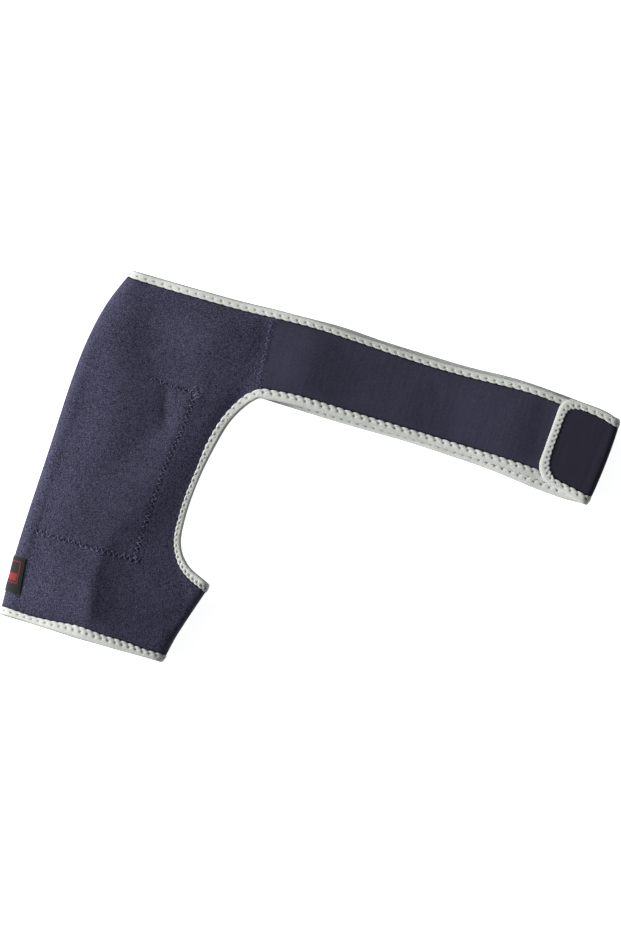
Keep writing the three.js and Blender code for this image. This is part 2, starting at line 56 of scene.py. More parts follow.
# Gauges
FOAM = 3.2  # thickness of the panels
TAPE_WIDTH = 7.0  # how far a tape reaches in from a cut edge, where nothing else is given
TAPE_THICK = 1.15  # height of a tape over the cloth
TAPE_NOSE = 1.45  # how far a tape stands out past the cut edge
SEAT = 0.08  # clearance under a tape or label
EDGE_CUT = 0.2  # clearance between a cut edge and its tape

# Heights of the middle surfaces above the floor
FLOOR_SHEET = FOAM / 2
FLOOR_EDGE = 3.1
FOLD_HEIGHT = 11.0
STRAP_END_HEIGHT = 9.4
TAB_HEIGHT = 15.3

# Plan of the body panel
NECK_CORNER = (2.2, 1.3)
SEAM_TOP = (153.3, 4.7)
SEAM_FOOT = (158.9, -81.4)
UNDERARM_CORNER = (163.5, -277.0)
HEM_INNER = (140.4, -362.3)
HEM_OUTER = (-26.4, -362.3)
OUTER_FOLD = [HEM_OUTER, (-28.6, -300), (-26.3, -200), (-23.1, -99), (-18, -60), (-11.3, -33), NECK_CORNER]
UNDERARM_FOLD = [HEM_INNER, (145.5, -336.5), (153.2, -309.8), UNDERARM_CORNER]
NECK = [NECK_CORNER, (50, 1.4), (90, 1.9), (120, 2.7), SEAM_TOP]
UNDERARM = [
    SEAM_FOOT,
    (150.1, -89.8),
    (136.9, -112.5),
    (128.8, -143),
    (122.6, -185),
    (121.2, -218),
    (124.5, -246),
    (137.3, -264.5),
    UNDERARM_CORNER,
]

# Sections across the front sheet, from the hem to the neck, along lines turned as the photograph's rows
# are: how far along each line its outer side, its first rise, the dip after it, its crown, the start of
# its fall and its inner side are, and how high each is
PHOTO_TURN = math.radians(16.6)  # the wrap lies turned in the photograph
SECTION_COLUMNS = ("level", "outer", "rise", "dip", "crown", "fall", "inner")
SECTION_PLACES = SECTION_COLUMNS[1:]
BODY_SECTIONS = named_rows(
    SECTION_COLUMNS,
    (-355, (-118, 20), (-85, 28.2), (-59, 33.4), (-40, 36.8), (-33, 34.8), (39, 20)),
    (-327, (-111, 20), (-80, 28.8), (-56, 33.4), (-38, 36.8), (-31, 34.7), (56, 19.5)),
    (-297, (-102, 20), (-73, 27.3), (-50, 30.2), (-33, 31.6), (-25, 29.4), (46, 19)),
    (-264, (-94, 20), (-68, 25.5), (-45, 26.8), (-17, 27.6), (-7, 25.7), (50, 17.6)),
    (-222, (-82, 20), (-50, 27), (-26, 28.4), (14, 29), (31, 27.2), (61, 21.2)),
    (-180, (-68, 20), (-28, 26.8), (0, 25.6), (41, 27.8), (56, 26.4), (82, 20.2)),
    (-140, (-53, 20), (-10, 26.2), (38, 23), (66, 24.4), (79, 23.7), (101, 18.6)),
    (-95, (-40, 20), (-15, 24.4), (26, 21.6), (74, 24.6), (98, 23.8), (134, 22)),
    (-57, (-27, 19.5), (-12, 22.2), (20, 20), (97, 28.6), (111, 27.2), (143, 22.6)),
    (-20, (-10, 18.5), (2, 20), (30, 20.4), (104, 27), (120, 25.6), (148, 22.6)),
)

# Heights of the front sheet at the hem and at the neck, across the plan
HEM_HEIGHTS = ((-26, 0, 30, 60, 90, 115, 141), (20, 23.2, 26.2, 27.2, 25.8, 22.6, 18.8))
NECK_HEIGHTS = ((2, 28, 52, 76, 100, 124, 153), (19.4, 20.7, 22.1, 22.5, 21.9, 21.9, 22.6))
HEM_EASE = 34.0  # from an edge, where its own heights give way to the sections'
NECK_EASE = 40.0
SEAM_HEIGHT = 22.6
SEAM_EASE = 22.0
UNDERARM_SQUARENESS = 0.65  # of its fold: 1 is round

# How far the binding turns the underarm edge up, at distances from the seam
LIP = ((0, 24, 80, 110, 225), (0, 2.2, 2.2, 1.5, 1.2))
LIP_REACH = 11.0
LIP_SKIP = 8  # points of the edge between those that measure the lip

# Width of the tape at the underarm, at distances from the seam
UNDERARM_TAPE = ((0, 70, 95, 180, 215), (7, 7, 5, 5, 6.6))

# Width of the hem's tape, at distances from the outer fold
HEM_TAPE = (
    (4, 30, 54, 66, 78, 88, 104, 126, 146, 167),
    (7.6, 6.3, 8, 9.6, 10.8, 10.4, 8.9, 8.9, 7.1, 7.5),
)

# Sections along the straps: the ends of each in plan, its height, how far its middle sags, and the widths
# of its two tapes
STRAP_COLUMNS = ("upper_x", "upper_y", "lower_x", "lower_y", "high", "sag", "upper_tape", "lower_tape")
FLOOR_SAG = FLOOR_EDGE - FLOOR_SHEET
FRONT_STRAP = named_rows(
    STRAP_COLUMNS,
    (153.24, 4.7, 158.84, -81.4, SEAM_HEIGHT, 0, 7, 8),
    (195, 5.4, 197, -78.4, 21.6, -1.4, 6.2, 8.4),
    (240, 3.6, 242, -78, 17.9, 0.8, 5.6, 8),
    (300, 2.2, 301, -77.6, 13.2, 0.6, 6.2, 7.4),
    (350, 2.7, 350, -77.6, 10.6, 1, 6.3, 7.2),
    (412, 5.4, 411, -78.4, 10.7, -1.1, 6.4, 7.4),
    (446, 3.6, 443, -79.8, STRAP_END_HEIGHT, 0.2, 6.4, 7.6),
    (492, 0, 487, -83, STRAP_END_HEIGHT, 0, 6.4, 8),
)
BACK_STRAP = named_rows(
    STRAP_COLUMNS,
    (153.4, 4.7, 159, -81.4, FLOOR_EDGE, 0, 7, 7),
    (215, 7.2, 215, -82.8, FLOOR_EDGE, FLOOR_SAG, 7, 5.4),
    (260, 5.4, 260, -82.8, FLOOR_EDGE, FLOOR_SAG, 7, 5.4),
    (305, 4.9, 305, -81.9, FLOOR_EDGE, FLOOR_SAG, 7, 6),
    (350, 5, 350, -82.6, FLOOR_EDGE, FLOOR_SAG, 7, 7),
    (400, 7.3, 397, -84.5, FLOOR_EDGE, FLOOR_SAG, 7, 7.6),
    (450, 5.1, 445, -89.2, FLOOR_EDGE, FLOOR_SAG, 7, 8),
    (484, 2.2, 478, -91.4, FLOOR_EDGE, FLOOR_SAG, 7, 8),
)
STRAP_FOLD = {"upper": (509.0, -2.2), "lower": (501.7, -90.9)}  # outermost line of the folded strap
FOLD_SQUARENESS = 0.65  # 1 is round
FOLD_BOW = 2.1  # how far the fold stands out between its corners
FOLD_EASE = 30.0  # from the fold, where its bow has gone
FOLD_TAPES = np.array([7.6, 6.9])  # widths of the lower and upper tapes at the fold
TAB_TAPES = np.array([6.6, 6.2])  # and along the tab
FOLD_NARROWING = 30.0  # from the fold, where the tapes have come to the tab's widths
TAB_END = {"upper": (449.8, 2.8), "lower": (445.6, -78.4)}  # before its corners are rounded
TAB_CORNERS = {"lower": 16.0, "upper": 10.0}
TAB_BOW = 2.7  # of its upper edge
TAB_BOW_SKEW = 0.75  # under 1, the bow is highest nearer the fold
BOW_FULLNESS = 0.7  # under 1, a bow is fuller than a sine's
TAB_CREASE = 9.0  # a pressed crease across the tab, from the fold
TAB_CREASE_WIDTH = 1.6
TAB_CREASE_DEPTH = 0.25

# Sewing on the body: the pocket's outline, and the butted seam with the front strap
POCKET_TOP = [(50, -95), (74, -97), (97, -95)]
POCKET_SIDE = [
    (98, -94),
    (95, -131),
    (92, -153),
    (89, -180),
    (88, -203),
    (87, -223),
    (86, -259),
    (85.5, -273),
]
POCKET_FOOT = [(91, -272.5), (54, -273), (18, -274), (-28.6, -273.5)]
POCKET_LINES = [POCKET_TOP, POCKET_SIDE, POCKET_FOOT]
POCKET_TACK = [(92, -92), (102, -101)]
SEAM_LINE = [(149.6, -6), (154.4, -72)]
POCKET_PITCH = 5.6
SEWING = named_rows(
    ("name", "lines", "width", "pitch", "thread"),
    ("pocket_stitches", POCKET_LINES, 5.4, POCKET_PITCH, 0.75),
    ("corner_tack", [POCKET_TACK], 8.0, 2.6, 0.75),
    ("seam_stitches", [SEAM_LINE], 4.6, 5.8, 0.6),
)
THREAD_RISE = 0.3  # of a stitch's middle over the cloth
THREAD_SINK = 0.25  # of its ends into the cloth
SEAM_SHADE = 0.3  # of the body's cloth close to the seam
POCKET_SHADE = 0.3  # and along the pocket's sewing, with its half width
POCKET_SHADE_WIDTH = 2.4
SEWN_DEPTH = 0.8  # how far the pocket's sewing draws the cloth in, with its half width
SEWN_WIDTH = 2.6
PUCKER = 0.45  # share by which that changes from stitch to stitch
SWELL = 0.55  # height of the cloth beside that sewing, with its half width
SWELL_WIDTH = 9.0

# Soft creases and swells of the front sheet: a plan segment, its half width and its height
CREASES = named_rows(
    ("start", "end", "width", "height"),
    ((68, -104), (77, -134), 6, -1.3),
    ((90, -106), (90, -142), 8, 0.8),
)

# Slight unevenness of laid cloth: slow waves that sway and quick ones that cross, with the millimetres to a
# radian of each along the plan
SLOW_WAVE = {"x": 19.0, "y": 27.0, "start": 1.3, "height": 0.28}
SLOW_SWAY = {"y": 31.0, "turn": 0.6}
QUICK_WAVE = {"x": 8.3, "y": 12.1, "start": 0.8, "height": 0.1}
CROSS_WAVE = {"x": 17.0, "y": 9.7}
STRAP_WAVE_SHIFT = 40.0  # along x, so that the strap's waves aren't the body's

# From a tape, where its hold on the cloth ends: on the body's relief, on a strap's and on a sag
RELIEF_RUN = 14.0
STRAP_RELIEF_RUN = 10.0
SAG_RUN = 16.0
DENT_AT = 0.9  # a dent in the cloth, from the tape beside it
DENT_SPREAD = 0.8  # the square of its half width
DENT_DEPTH = 0.35


def smooth_step(value):
    """Smooth change from 0 to 1 as a value goes from 0 to 1."""
    clamped = np.clip(value, 0.0, 1.0)
    return clamped * clamped * (3 - 2 * clamped)


def bell(away, width):
    """A smooth bump: 1 at no distance, and about a third at its half width."""
    return np.exp(-((away / width) ** 2))


def smoothly(table, column, row):
    """One column of a table, read smoothly at row numbers with fractions."""
    values = np.array([line[column] for line in table], float)
    last = len(values) - 1
    row = np.asarray(row, float)
    start = np.minimum(np.floor(row), last - 1).astype(int)
    before, here, there, after = (values[np.clip(start + step, 0, last)] for step in (-1, 0, 1, 2))
    t = row - start
    square = 2 * before - 5 * here + 4 * there - after
    cube = 3 * here - before - 3 * there + after
    bend = square * t**2 + cube * t**3
    return here + ((there - before) * t + bend) / 2


def fine_rows(table, cells):
    """Columns of a table, read smoothly at a number of cells between each two of its rows."""
    numbers = [index + step / count for index, count in enumerate(cells) for step in range(count)]
    numbers.append(len(cells))
    return {column: smoothly(table, column, numbers) for column in table[0]}


def plan_curve(points, steps=40):
    """Close points on a smooth curve through plan points."""
    spots = np.array(points, float)
    spots = np.vstack([2 * spots[0] - spots[1], spots, 2 * spots[-1] - spots[-2]])
    t = np.linspace(0, 1, steps, endpoint=False)[:, None]
    runs = []
    for a, b, c, d in zip(spots, spots[1:], spots[2:], spots[3:]):
        first, middle, last = (math.sqrt(np.linalg.norm(q - p)) for p, q in ((a, b), (b, c), (c, d)))
        leave = ((b - a) / first - (c - a) / (first + middle) + (c - b) / middle) * middle
        reach = ((c - b) / middle - (d - b) / (middle + last) + (d - c) / last) * middle
        square = 3 * (c - b) - 2 * leave - reach
        cube = 2 * (b - c) + leave + reach
        runs.append(b + leave * t + square * t**2 + cube * t**3)
    return np.vstack(runs + [spots[-2:-1]])


def distances(line):
    """Distance along a line of points, at each of them."""
    steps = np.linalg.norm(np.diff(line, axis=0), axis=1)
    return np.concatenate([[0.0], np.cumsum(steps)])


def points_at(line, along):
    """Points of a line at distances along it."""
    known = distances(line)
    return np.stack([np.interp(along, known, column) for column in line.T], axis=-1)


def unit(vectors):
    """Vectors scaled to length one."""
    return vectors / np.maximum(np.linalg.norm(vectors, axis=-1, keepdims=True), 1e-12)


def segment_distance(spots, start, end):
    """Distance of plan spots from a segment, and how far along it the nearest point is."""
    start, end = np.array(start, float), np.array(end, float)
    run = end - start
    share = np.clip(((spots - start) @ run) / (run @ run), 0, 1)
    away = np.linalg.norm(spots - start - share[..., None] * run, axis=-1)
    return away, share * np.linalg.norm(run)


def line_distance(spots, line):
    """Distance of plan spots from a line of points, and how far along it the nearest point is."""
    nearest = np.full(spots.shape[:-1], np.inf)
    along = np.zeros(spots.shape[:-1])
    before = 0.0
    for start, end in zip(line, line[1:]):
        away, run = segment_distance(spots, start, end)
        closer = away < nearest
        nearest = np.where(closer, away, nearest)
        along = np.where(closer, before + run, along)
        before += math.dist(start, end)
    return nearest, along


# Outline of the body panel: the neck, the seam and the underarm in one line
neck_line = plan_curve(NECK)
underarm_line = plan_curve(UNDERARM)
outline = np.vstack([neck_line, underarm_line])
outer_fold = plan_curve(OUTER_FOLD)
underarm_fold = plan_curve(UNDERARM_FOLD)
NECK_LENGTH = distances(neck_line)[-1]
SEAM_FOOT_AT = NECK_LENGTH + math.dist(SEAM_TOP, SEAM_FOOT)
EDGE_LENGTH = distances(outline)[-1]
HEM_LENGTH = math.dist(HEM_OUTER, HEM_INNER)

# Lines that run up the body panel from the hem to the shaped edge, from the outer fold round to the
# underarm fold: where each meets them, in millimetres from the outer fold, and a place half way
FOLD_RUN = 12.0  # from a fold, where its bend ends
FAN_RUN = 45.0  # from a fold, where steps across a tape have turned square to the edge
BOW_RUN = 70.0  # past the bend, where lines no longer bow with the fold
CORNER_RUN = 22.0  # from a corner of the outline, where a mitred tape's slant has gone
BODY_LINES = named_rows(
    ("hem", "waist_x", "waist_y", "edge"),
    (FOLD_RUN, -2, -180, FOLD_RUN),
    (46, 34, -184, 56),
    (86, 64, -180, 109),
    (95, 74.5, -176, NECK_LENGTH),
    (104, 85.5, -166, SEAM_FOOT_AT),
    (108, 90, -160, SEAM_FOOT_AT + 22),
    (114, 96, -184, SEAM_FOOT_AT + 60),
    (129, 105, -288, SEAM_FOOT_AT + 150),
    (145, 119, -308, EDGE_LENGTH - 38),
    (HEM_LENGTH - FOLD_RUN, 138, -316, EDGE_LENGTH - FOLD_RUN),
)

# Fineness of the meshes
FRONT_SPACING = 2.7
BACK_SPACING = 8.0
STRIP_CELLS = 9  # round a half of a fold's bend
TAPE_CELLS = 2  # under a tape, from the cut edge to its inner side
BESIDE_TAPE = (0.0, 0.7, 1.5, 2.5, 3.8)  # rows close to a tape, in millimetres from it
BODY_ROWS = 150
STRAP_SPACING = 2.4
STRAP_ROWS = 34
FOLD_STEPS = 16
CORNER_STEPS = 12
TAB_SPACING = 2.4


def stretch_of(along):
    """The straight or curved stretch of the outline that each distance is on: its two ends."""
    ends = np.array([0.0, NECK_LENGTH, SEAM_FOOT_AT, EDGE_LENGTH])
    index = np.clip(np.searchsorted(ends, along, side="left") - 1, 0, 2)
    return ends[index], ends[index + 1]


def at_seam(along):
    """Which distances along the outline are at the seam with the straps."""
    return (along >= NECK_LENGTH) & (along <= SEAM_FOOT_AT)


def tangents(along, step=0.5):
    """Directions of the outline."""
    low, high = stretch_of(along)
    ahead = points_at(outline, np.minimum(along + step, high))
    behind = points_at(outline, np.maximum(along - step, low))
    return unit(ahead - behind)


def turn_reach(corner):
    """How far a mitred tape's inner corner lies along the outline from its outer one."""
    before, after = tangents(np.array([corner - 1.0, corner + 1.0]))
    return TAPE_WIDTH * math.tan(math.acos(np.clip(before @ after, -1, 1)) / 2)


TURN_REACH = {corner: turn_reach(corner) for corner in (NECK_LENGTH, SEAM_FOOT_AT)}


def fan(square, fold_direction, from_fold):
    """Step across a tape: along the fold beside a fold, and square to the edge elsewhere."""
    share = np.minimum(from_fold / FAN_RUN, 1)[:, None]
    direction = fold_direction + (square - fold_direction) * share
    return direction * (TAPE_WIDTH / np.sum(direction * square, axis=1, keepdims=True))


def edge_steps(along):
    """Steps from the shaped edge to the tape's inner side."""
    tangent = tangents(along)
    square = np.stack([tangent[:, 1], -tangent[:, 0]], axis=1)
    from_outer = fan(square, -unit(outer_fold[-1] - outer_fold[-3]), along)
    from_underarm = fan(square, -unit(underarm_fold[-1] - underarm_fold[-3]), EDGE_LENGTH - along)
    step = np.where((along < EDGE_LENGTH / 2)[:, None], from_outer, from_underarm)
    step = step * np.interp(along - SEAM_FOOT_AT, *UNDERARM_TAPE)[:, None] / TAPE_WIDTH
    low, high = stretch_of(along)
    for corner, reach in TURN_REACH.items():
        nearness = np.clip(1 - np.abs(along - corner) / CORNER_RUN, 0, 1) ** 2
        side = np.where(high == corner, -1, np.where(low == corner, 1, 0))
        step += tangent * (nearness * reach * side)[:, None]
    return step


def hem_steps(along):
    """Steps from the hem to its tape's inner side."""
    square = np.tile([0.0, 1.0], (len(along), 1))
    from_outer = fan(square, unit(outer_fold[2] - outer_fold[0]), along)
    from_underarm = fan(square, unit(underarm_fold[2] - underarm_fold[0]), HEM_LENGTH - along)
    wide = np.interp(along, *HEM_TAPE)[:, None] / TAPE_WIDTH
    return np.where((along < HEM_LENGTH / 2)[:, None], from_outer, from_underarm) * wide


def body_lines(spacing):
    """Lines up the panel as arrays: hem, edge, waist and roll, which is 0 on a fold and 1 clear of it."""
    cells = []
    for line, following in zip(BODY_LINES, BODY_LINES[1:]):
        reach = max(following["hem"] - line["hem"], following["edge"] - line["edge"])
        cells.append(max(round(reach / spacing), 2))
    read = fine_rows(BODY_LINES, cells)
    waist = np.stack([read["waist_x"], read["waist_y"]], axis=1)
    turn = np.arange(STRIP_CELLS) / STRIP_CELLS * math.pi / 2
    run, sharp_run = (FOLD_RUN * (1 - np.cos(turn) ** power) for power in (1, UNDERARM_SQUARENESS))
    roll = np.sin(turn)
    unset = np.full((STRIP_CELLS, 2), np.nan)
    return {
        "hem": np.concatenate([run, read["hem"], HEM_LENGTH - sharp_run[::-1]]),
        "edge": np.concatenate([run, read["edge"], EDGE_LENGTH - sharp_run[::-1]]),
        "waist": np.vstack([unset, waist, unset]),
        "roll": np.concatenate([roll, np.ones(len(waist)), roll[::-1] ** UNDERARM_SQUARENESS]),
    }


def cloth_ripple(x, y):
    """Slight unevenness of laid cloth."""
    sway = SLOW_SWAY["turn"] * np.sin(y / SLOW_SWAY["y"])
    slow = np.sin(x / SLOW_WAVE["x"] + sway) * np.sin(y / SLOW_WAVE["y"] + SLOW_WAVE["start"])
    quick = np.sin(x / QUICK_WAVE["x"] + y / QUICK_WAVE["y"] + QUICK_WAVE["start"])
    quick = quick * np.sin(y / CROSS_WAVE["y"] - x / CROSS_WAVE["x"])
    return SLOW_WAVE["height"] * slow + QUICK_WAVE["height"] * quick


def section_height(x, y):
    """Height over plan places of a smooth surface through the body's sections."""
    along = x * math.cos(PHOTO_TURN) + y * math.sin(PHOTO_TURN)
    level = y * math.cos(PHOTO_TURN) - x * math.sin(PHOTO_TURN)
    row = np.interp(level, [section["level"] for section in BODY_SECTIONS], np.arange(len(BODY_SECTIONS)))

    def read(name, part):
        return smoothly([{"at": section[name][part]} for section in BODY_SECTIONS], "at", row)

    places, heights = (np.stack([read(name, part) for name in SECTION_PLACES]) for part in (0, 1))
    spans = np.diff(places, axis=0)
    slopes = np.diff(heights, axis=0) / spans
    weights = spans[1:] * slopes[:-1] + spans[:-1] * slopes[1:]
    turns = np.concatenate([slopes[:1], weights / (spans[1:] + spans[:-1]), slopes[-1:]])
    along = np.clip(along, places[0], places[-1])
    high = np.zeros_like(along)
    for i, (span, slope) in enumerate(zip(spans, slopes)):
        t = np.clip((along - places[i]) / span, 0, 1)
        here = (along >= places[i]) & ((along < places[i + 1]) | (i == len(spans) - 1))
        leave, reach = turns[i] * span, turns[i + 1] * span
        bend = leave * t * (1 - t) ** 2 - reach * t**2 * (1 - t) + slope * span * t**2 * (3 - 2 * t)
        high = np.where(here, heights[i] + bend, high)
    return high


def front_height(x, y):
    """Height of the front sheet's middle surface over plan places."""
    spots = np.stack([x, y], axis=-1)
    hem_share = 1 - smooth_step((y - HEM_OUTER[1]) / HEM_EASE)
    neck_share = 1 - smooth_step((np.interp(x, *np.transpose(NECK)) - y) / NECK_EASE)
    from_seam, _ = segment_distance(spots, SEAM_TOP, SEAM_FOOT)
    seam_share = 1 - smooth_step(from_seam / SEAM_EASE)
    from_arm, along_arm = line_distance(spots, underarm_line[::LIP_SKIP])
    lip = np.interp(along_arm, *LIP) * np.clip(1 - from_arm / LIP_REACH, 0, 1) ** 2
    high = section_height(x, y) + lip
    high = high + (np.interp(x, *HEM_HEIGHTS) - high) * hem_share
    high = high + (np.interp(x, *NECK_HEIGHTS) - high) * neck_share
    return high + (SEAM_HEIGHT - high) * seam_share


def front_relief(x, y):
    """Creases, sewn lines and unevenness of the front sheet."""
    spots = np.stack([x, y], axis=-1)
    relief = cloth_ripple(x, y)
    for crease in CREASES:
        away, _ = segment_distance(spots, crease["start"], crease["end"])
        relief = relief + crease["height"] * bell(away, crease["width"])
    for line in POCKET_LINES:
        away, along = line_distance(spots, line)
        pucker = 1 + PUCKER * np.cos(2 * math.pi * along / POCKET_PITCH)
        relief = relief - SEWN_DEPTH * pucker * bell(away, SEWN_WIDTH) + SWELL * bell(away, SWELL_WIDTH)
    return relief


def column_points(lines, index, bows):
    """Plan points up one line, from the hem to the shaped edge, and how far each is from a tape."""
    hem, edge = lines["hem"][index], lines["edge"][index]
    hem_point = np.array(HEM_OUTER) + (np.array(HEM_INNER) - np.array(HEM_OUTER)) * hem / HEM_LENGTH
    edge_point = points_at(outline, np.array([edge]))[0]
    start = hem_point + hem_steps(np.array([hem]))[0]
    end = edge_point + edge_steps(np.array([edge]))[0]
    path = np.vstack([start, end])
    if lines["roll"][index] == 1:
        path = plan_curve([start, lines["waist"][index], end])
    length = distances(path)[-1]
    beside = np.array(BESIDE_TAPE[:-1])
    middle = np.linspace(BESIDE_TAPE[-1], length - BESIDE_TAPE[-1], BODY_ROWS)
    along = np.concatenate([beside, middle, length - beside[::-1]])
    points = points_at(path, along)
    for bow, run in zip(bows, (hem, HEM_LENGTH - hem)):
        points = points + bow(along / length) * np.clip(1 - (run - FOLD_RUN) / BOW_RUN, 0, 1)
    under_tape = np.arange(TAPE_CELLS)[:, None] / TAPE_CELLS
    points = np.vstack([
        hem_point + (points[0] - hem_point) * under_tape,
        points,
        edge_point + (points[-1] - edge_point) * under_tape[::-1],
    ])
    covered = np.arange(-TAPE_CELLS, 0)  # less than no distance
    return points, np.concatenate([covered, np.minimum(along, length - along), covered[::-1]])


def fold_bow(fold, lines, index):
    """How far a fold bows out of the straight line between its two tapes, at shares of its length."""
    straight, _ = column_points(lines, index, ())
    start, end = straight[TAPE_CELLS], straight[-1 - TAPE_CELLS]
    length = distances(fold)[-1]

    def bow(share):
        along = TAPE_WIDTH + (length - 2 * TAPE_WIDTH) * share
        return points_at(fold, along) - (start + (end - start) * share[:, None])

    return bow


def front_column(plan, from_tape, roll, seamed):
    """Heights up one line of the front sheet, with its relief and the dents beside its tapes."""
    from_seam, _ = segment_distance(plan, SEAM_TOP, SEAM_FOOT)
    clear = smooth_step(from_tape / RELIEF_RUN) * smooth_step(from_seam / SEAM_EASE)
    dent = np.exp(-((from_tape - DENT_AT) ** 2) / DENT_SPREAD)
    if seamed:
        dent[len(dent) // 2 :] = 0
    return front_height(*plan.T) + front_relief(*plan.T) * clear * roll - DENT_DEPTH * dent


def body_side(lines, front):
    """Middle surface of the front or the back sheet, [row, column]."""
    bows = (fold_bow(outer_fold, lines, 0), fold_bow(underarm_fold, lines, -1))
    columns = []
    for index, roll in enumerate(lines["roll"]):
        plan, from_tape = column_points(lines, index, bows)
        if front:
            high = front_column(plan, from_tape, roll, at_seam(lines["edge"][index]))
        else:
            high = FLOOR_EDGE - FLOOR_SAG * smooth_step(from_tape / SAG_RUN)
        columns.append(np.column_stack([plan, FOLD_HEIGHT + (high - FOLD_HEIGHT) * roll]))
    return np.stack(columns, axis=1)


def grid_normals(grid, loop=False):
    """Outward directions on a grid of middle-surface points."""
    if loop:
        across = np.roll(grid, -1, axis=1) - np.roll(grid, 1, axis=1)
    else:
        across = np.gradient(grid, axis=1)
    return unit(np.cross(across, np.gradient(grid, axis=0)))


# Panels

front_lines = body_lines(FRONT_SPACING)
back_lines = body_lines(BACK_SPACING)
front_sheet = body_side(front_lines, True)
back_sheet = body_side(back_lines, False)
body_grid = np.concatenate([front_sheet, back_sheet[:, -2:0:-1]], axis=1)
body_normals = grid_normals(body_grid, loop=True)


def across_strap(width, lower_tape, upper_tape):
    """Distances of a strap's columns from its lower edge: under the tapes, beside them and between."""
    beside = np.array(BESIDE_TAPE)
    middle = np.linspace(lower_tape + beside[-1], width - upper_tape - beside[-1], STRAP_ROWS)
    from_lower = np.concatenate([[0, lower_tape / 2], lower_tape + beside[:-1]])
    from_upper = np.concatenate([[0, upper_tape / 2], upper_tape + beside[:-1]])
    return np.concatenate([from_lower, middle, width - from_upper[::-1]])


def strap_grid(lower, upper, sag, tapes, relief):
    """Middle surface of a strap between its two edges, [row, column]."""
    rows = []
    for low, high, drop, (lower_tape, upper_tape) in zip(lower, upper, sag, tapes):
        width = np.linalg.norm(high - low)
        at = across_strap(width, lower_tape, upper_tape)
        from_tape = np.minimum(at - lower_tape, width - at - upper_tape)
        row = low + (high - low) * (at / width)[:, None]
        row[:, 2] -= drop * smooth_step(from_tape / SAG_RUN)
        ripple = cloth_ripple(row[:, 0] + STRAP_WAVE_SHIFT, row[:, 1])
        row[:, 2] += relief * ripple * smooth_step(from_tape / STRAP_RELIEF_RUN)
        rows.append(row)
    return np.stack(rows)


def strap_edges(table):
    """Lower edge, upper edge, sag and tape widths along a strap."""
    steps = zip(table, table[1:])
    cells = [round((following["upper_x"] - row["upper_x"]) / STRAP_SPACING) for row, following in steps]
    read = fine_rows(table, cells)
    lower = np.column_stack([read["lower_x"], read["lower_y"], read["high"]])
    upper = np.column_stack([read["upper_x"], read["upper_y"], read["high"]])
    tapes = np.column_stack([read["lower_tape"], read["upper_tape"]])
    return lower, upper, np.minimum(read["sag"], FLOOR_SAG), tapes


FOLD_RADIUS = (TAB_HEIGHT - FLOOR_EDGE) / 2
fold_line = np.array(STRAP_FOLD["upper"]) - np.array(STRAP_FOLD["lower"])
fold_out = unit(np.array([fold_line[1], -fold_line[0], 0.0]))


def fold_edge(end, turn):
    """One edge of the back strap's fold, at angles round it."""
    outermost = np.array([*STRAP_FOLD[end], FLOOR_EDGE])
    sideways = np.abs(np.sin(turn)) ** FOLD_SQUARENESS
    upward = np.sign(-np.cos(turn)) * np.abs(np.cos(turn)) ** FOLD_SQUARENESS
    rise = FOLD_RADIUS * (1 + upward)
    return outermost + fold_out * (FOLD_RADIUS * (sideways - 1))[:, None] + np.outer(rise, [0, 0, 1])


def tab_edges():
    """Lower and upper edges of the tab, from the fold to its end, narrowing round its two corners."""
    start_lower, start_upper = (fold_edge(end, np.array([math.pi]))[0] for end in ("lower", "upper"))
    end_lower, end_upper = (np.array([*TAB_END[end], TAB_HEIGHT]) for end in ("lower", "upper"))
    length = np.linalg.norm(end_lower - start_lower)
    straight = 1 - max(TAB_CORNERS.values()) / length
    plain = np.arange(TAB_SPACING, length * straight, TAB_SPACING) / length
    turn = np.arange(CORNER_STEPS + 1) / CORNER_STEPS * math.pi / 2
    share = np.concatenate([plain, straight + (1 - straight) * np.sin(turn)])[:, None]
    lower = start_lower + (end_lower - start_lower) * share
    upper = start_upper + (end_upper - start_upper) * share
    up = unit(upper - lower)
    inset = {}
    for end, radius in TAB_CORNERS.items():
        into = np.clip(radius - (1 - share) * length, 0, radius)
        inset[end] = radius - np.sqrt(radius**2 - into**2)
    bow = TAB_BOW * np.sin(math.pi * share**TAB_BOW_SKEW) ** BOW_FULLNESS
    return lower + up * inset["lower"], upper + up * (bow - inset["upper"])


def fold_distance(points):
    """How far in from the outermost line of the strap's fold points are."""
    return (np.array([*STRAP_FOLD["lower"], 0]) - points) @ fold_out


def bow_fold(grid):
    """Bows a strap's fold out between its corners."""
    share = np.linspace(0, 1, grid.shape[1])
    from_fold = np.maximum(fold_distance(grid) - FOLD_RADIUS, 0)
    bow = np.sin(math.pi * share) ** BOW_FULLNESS * FOLD_BOW * (1 - smooth_step(from_fold / FOLD_EASE))
    grid += fold_out * bow[..., None]


def crease_tab(grid):
    """Presses a crease across the tab, beside the fold."""
    columns = np.arange(grid.shape[1])
    clear_of_tapes = np.minimum(columns, columns[::-1]) > TAPE_CELLS
    crease = bell(fold_distance(grid) - TAB_CREASE, TAB_CREASE_WIDTH)
    grid[..., 2] -= TAB_CREASE_DEPTH * crease * clear_of_tapes


